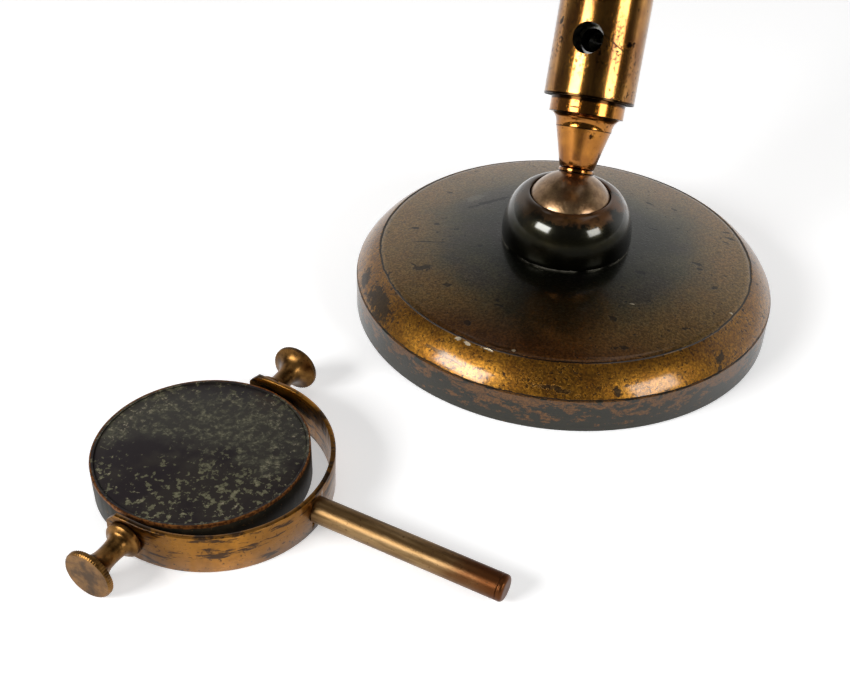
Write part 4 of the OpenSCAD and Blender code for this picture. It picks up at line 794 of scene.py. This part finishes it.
def silvering():
    """The old mirror's colour, duller on its flakes"""
    made, tree, shader = new_finish("old_silvering", Metallic=0.1, Specular_IOR_Level=0.15)
    skin, flakes = old_mirror(tree, on_piece(tree, to_mirror))
    linked(tree, shader, Base_Color=skin, Roughness=plus(tree, 0.5, times(tree, flakes, 0.12)))
    dented(tree, shader, flakes, 0.1)
    return made


dress(drum_finish(), "mirror_cell")
dress(silvering(), "mirror_flat_glass", "mirror_hollow_glass")

# The studio: a white table and backdrop, two soft boxes in front, one to each side, a weak one above, and a
# camera above the table on the right of the object's middle. The room is dim, with white low behind.
# The sizes here are in metres.
table_half = 3.0
room_grey, side_grey, behind_grey = ((level, level, level, 1) for level in (0.06, 0.16, 0.75))
white = (1, 1, 1, 1)


def seen_by(tree, *kinds):
    """1 for rays of these kinds, which show a surface to the eye"""
    rays = tree.nodes.new("ShaderNodeLightPath")
    return most(tree, *[rays.outputs["Is " + kind + " Ray"] for kind in kinds])


def table_finish():
    """A pale table that shows as white and keeps the shadows near the object. Further off, where the lamps'
    light falls away, it is lifted more"""
    made, tree, shader = new_finish("floor_white", Base_Color=(0.9, 0.9, 0.9, 1), Roughness=0.9,
                                    Emission_Color=white)
    near_lift, far_lift = 0.42, 1.0
    off = from_to(tree, reach_of(tree, on_piece(tree)), 0.35, 1.2)
    lift = plus(tree, near_lift, times(tree, off, far_lift - near_lift))
    shown = seen_by(tree, "Camera", "Glossy", "Transmission")
    linked(tree, shader, Emission_Strength=times(tree, shown, lift))
    return made


table = bmesh.new()
bmesh.ops.create_grid(table, x_segments=1, y_segments=1, size=table_half)
floor = piece("floor", table)
floor.data.materials.append(table_finish())
floor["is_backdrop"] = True


def soft_box(name, heading, height, distance, size, power):
    """A soft box that faces the middle of the foot, by compass heading and height in degrees"""
    lamp = bpy.data.lights.new(name, "AREA")
    lamp.shape = "RECTANGLE"
    lamp.size, lamp.size_y = size
    lamp.energy = power
    held = bpy.data.objects.new(name, lamp)
    bpy.context.scene.collection.objects.link(held)
    turn, rise = math.radians(heading), math.radians(height)
    away = Vector((math.sin(turn) * math.cos(rise), math.cos(turn) * math.cos(rise), math.sin(rise)))
    held.location = away * distance
    held.rotation_euler = away.to_track_quat("Z", "Y").to_euler()
    held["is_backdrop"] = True


soft_box("soft_box_left", heading=-141, height=28, distance=1.1, size=(0.5, 0.32), power=9.5)
soft_box("soft_box_right", heading=118, height=25, distance=1.1, size=(0.42, 0.32), power=4.6)
soft_box("soft_box_above", heading=0, height=80, distance=1.6, size=(1.2, 1.2), power=3)

world = bpy.data.worlds.new("studio")
bpy.context.scene.world = world
world.use_nodes = True
sky = world.node_tree
for old in list(sky.nodes):
    sky.nodes.remove(old)
right, ahead, up = parts_of(sky, sky.nodes.new("ShaderNodeTexCoord").outputs["Generated"])
low_behind = times(sky, from_to(sky, ahead, -0.05, 0.45), from_to(sky, up, 0.75, 0.5))
room = laid_over(sky, from_to(sky, right, -0.75, -0.95), room_grey, side_grey)
room = laid_over(sky, low_behind, room, behind_grey)
room = laid_over(sky, seen_by(sky, "Camera", "Transmission"), room, white)
backdrop = node(sky, "Background", {"Color": room, "Strength": 1.0})
node(sky, "OutputWorld", {"Surface": backdrop.outputs[0]})

camera_data = bpy.data.cameras.new("camera")
camera_data.sensor_width = 36.0
camera_data.sensor_fit = "HORIZONTAL"
camera_data.lens = 52.23
camera_data.clip_start = 0.01
camera = bpy.data.objects.new("camera", camera_data)
bpy.context.scene.collection.objects.link(camera)
look_from = Vector((0.04261, -0.30137, 0.20993))
look_right = Vector((0.95806544, 0.28540979, 0.02553167))
look_up = Vector((-0.19170405, 0.57218034, 0.79740781))
look_back = look_right.cross(look_up)
look_turn = Matrix((look_right, look_up, look_back)).transposed().to_4x4()
camera.matrix_world = Matrix.Translation(look_from) @ look_turn
bpy.context.scene.camera = camera
bpy.context.scene.view_settings.view_transform = "Standard"

low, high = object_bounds()
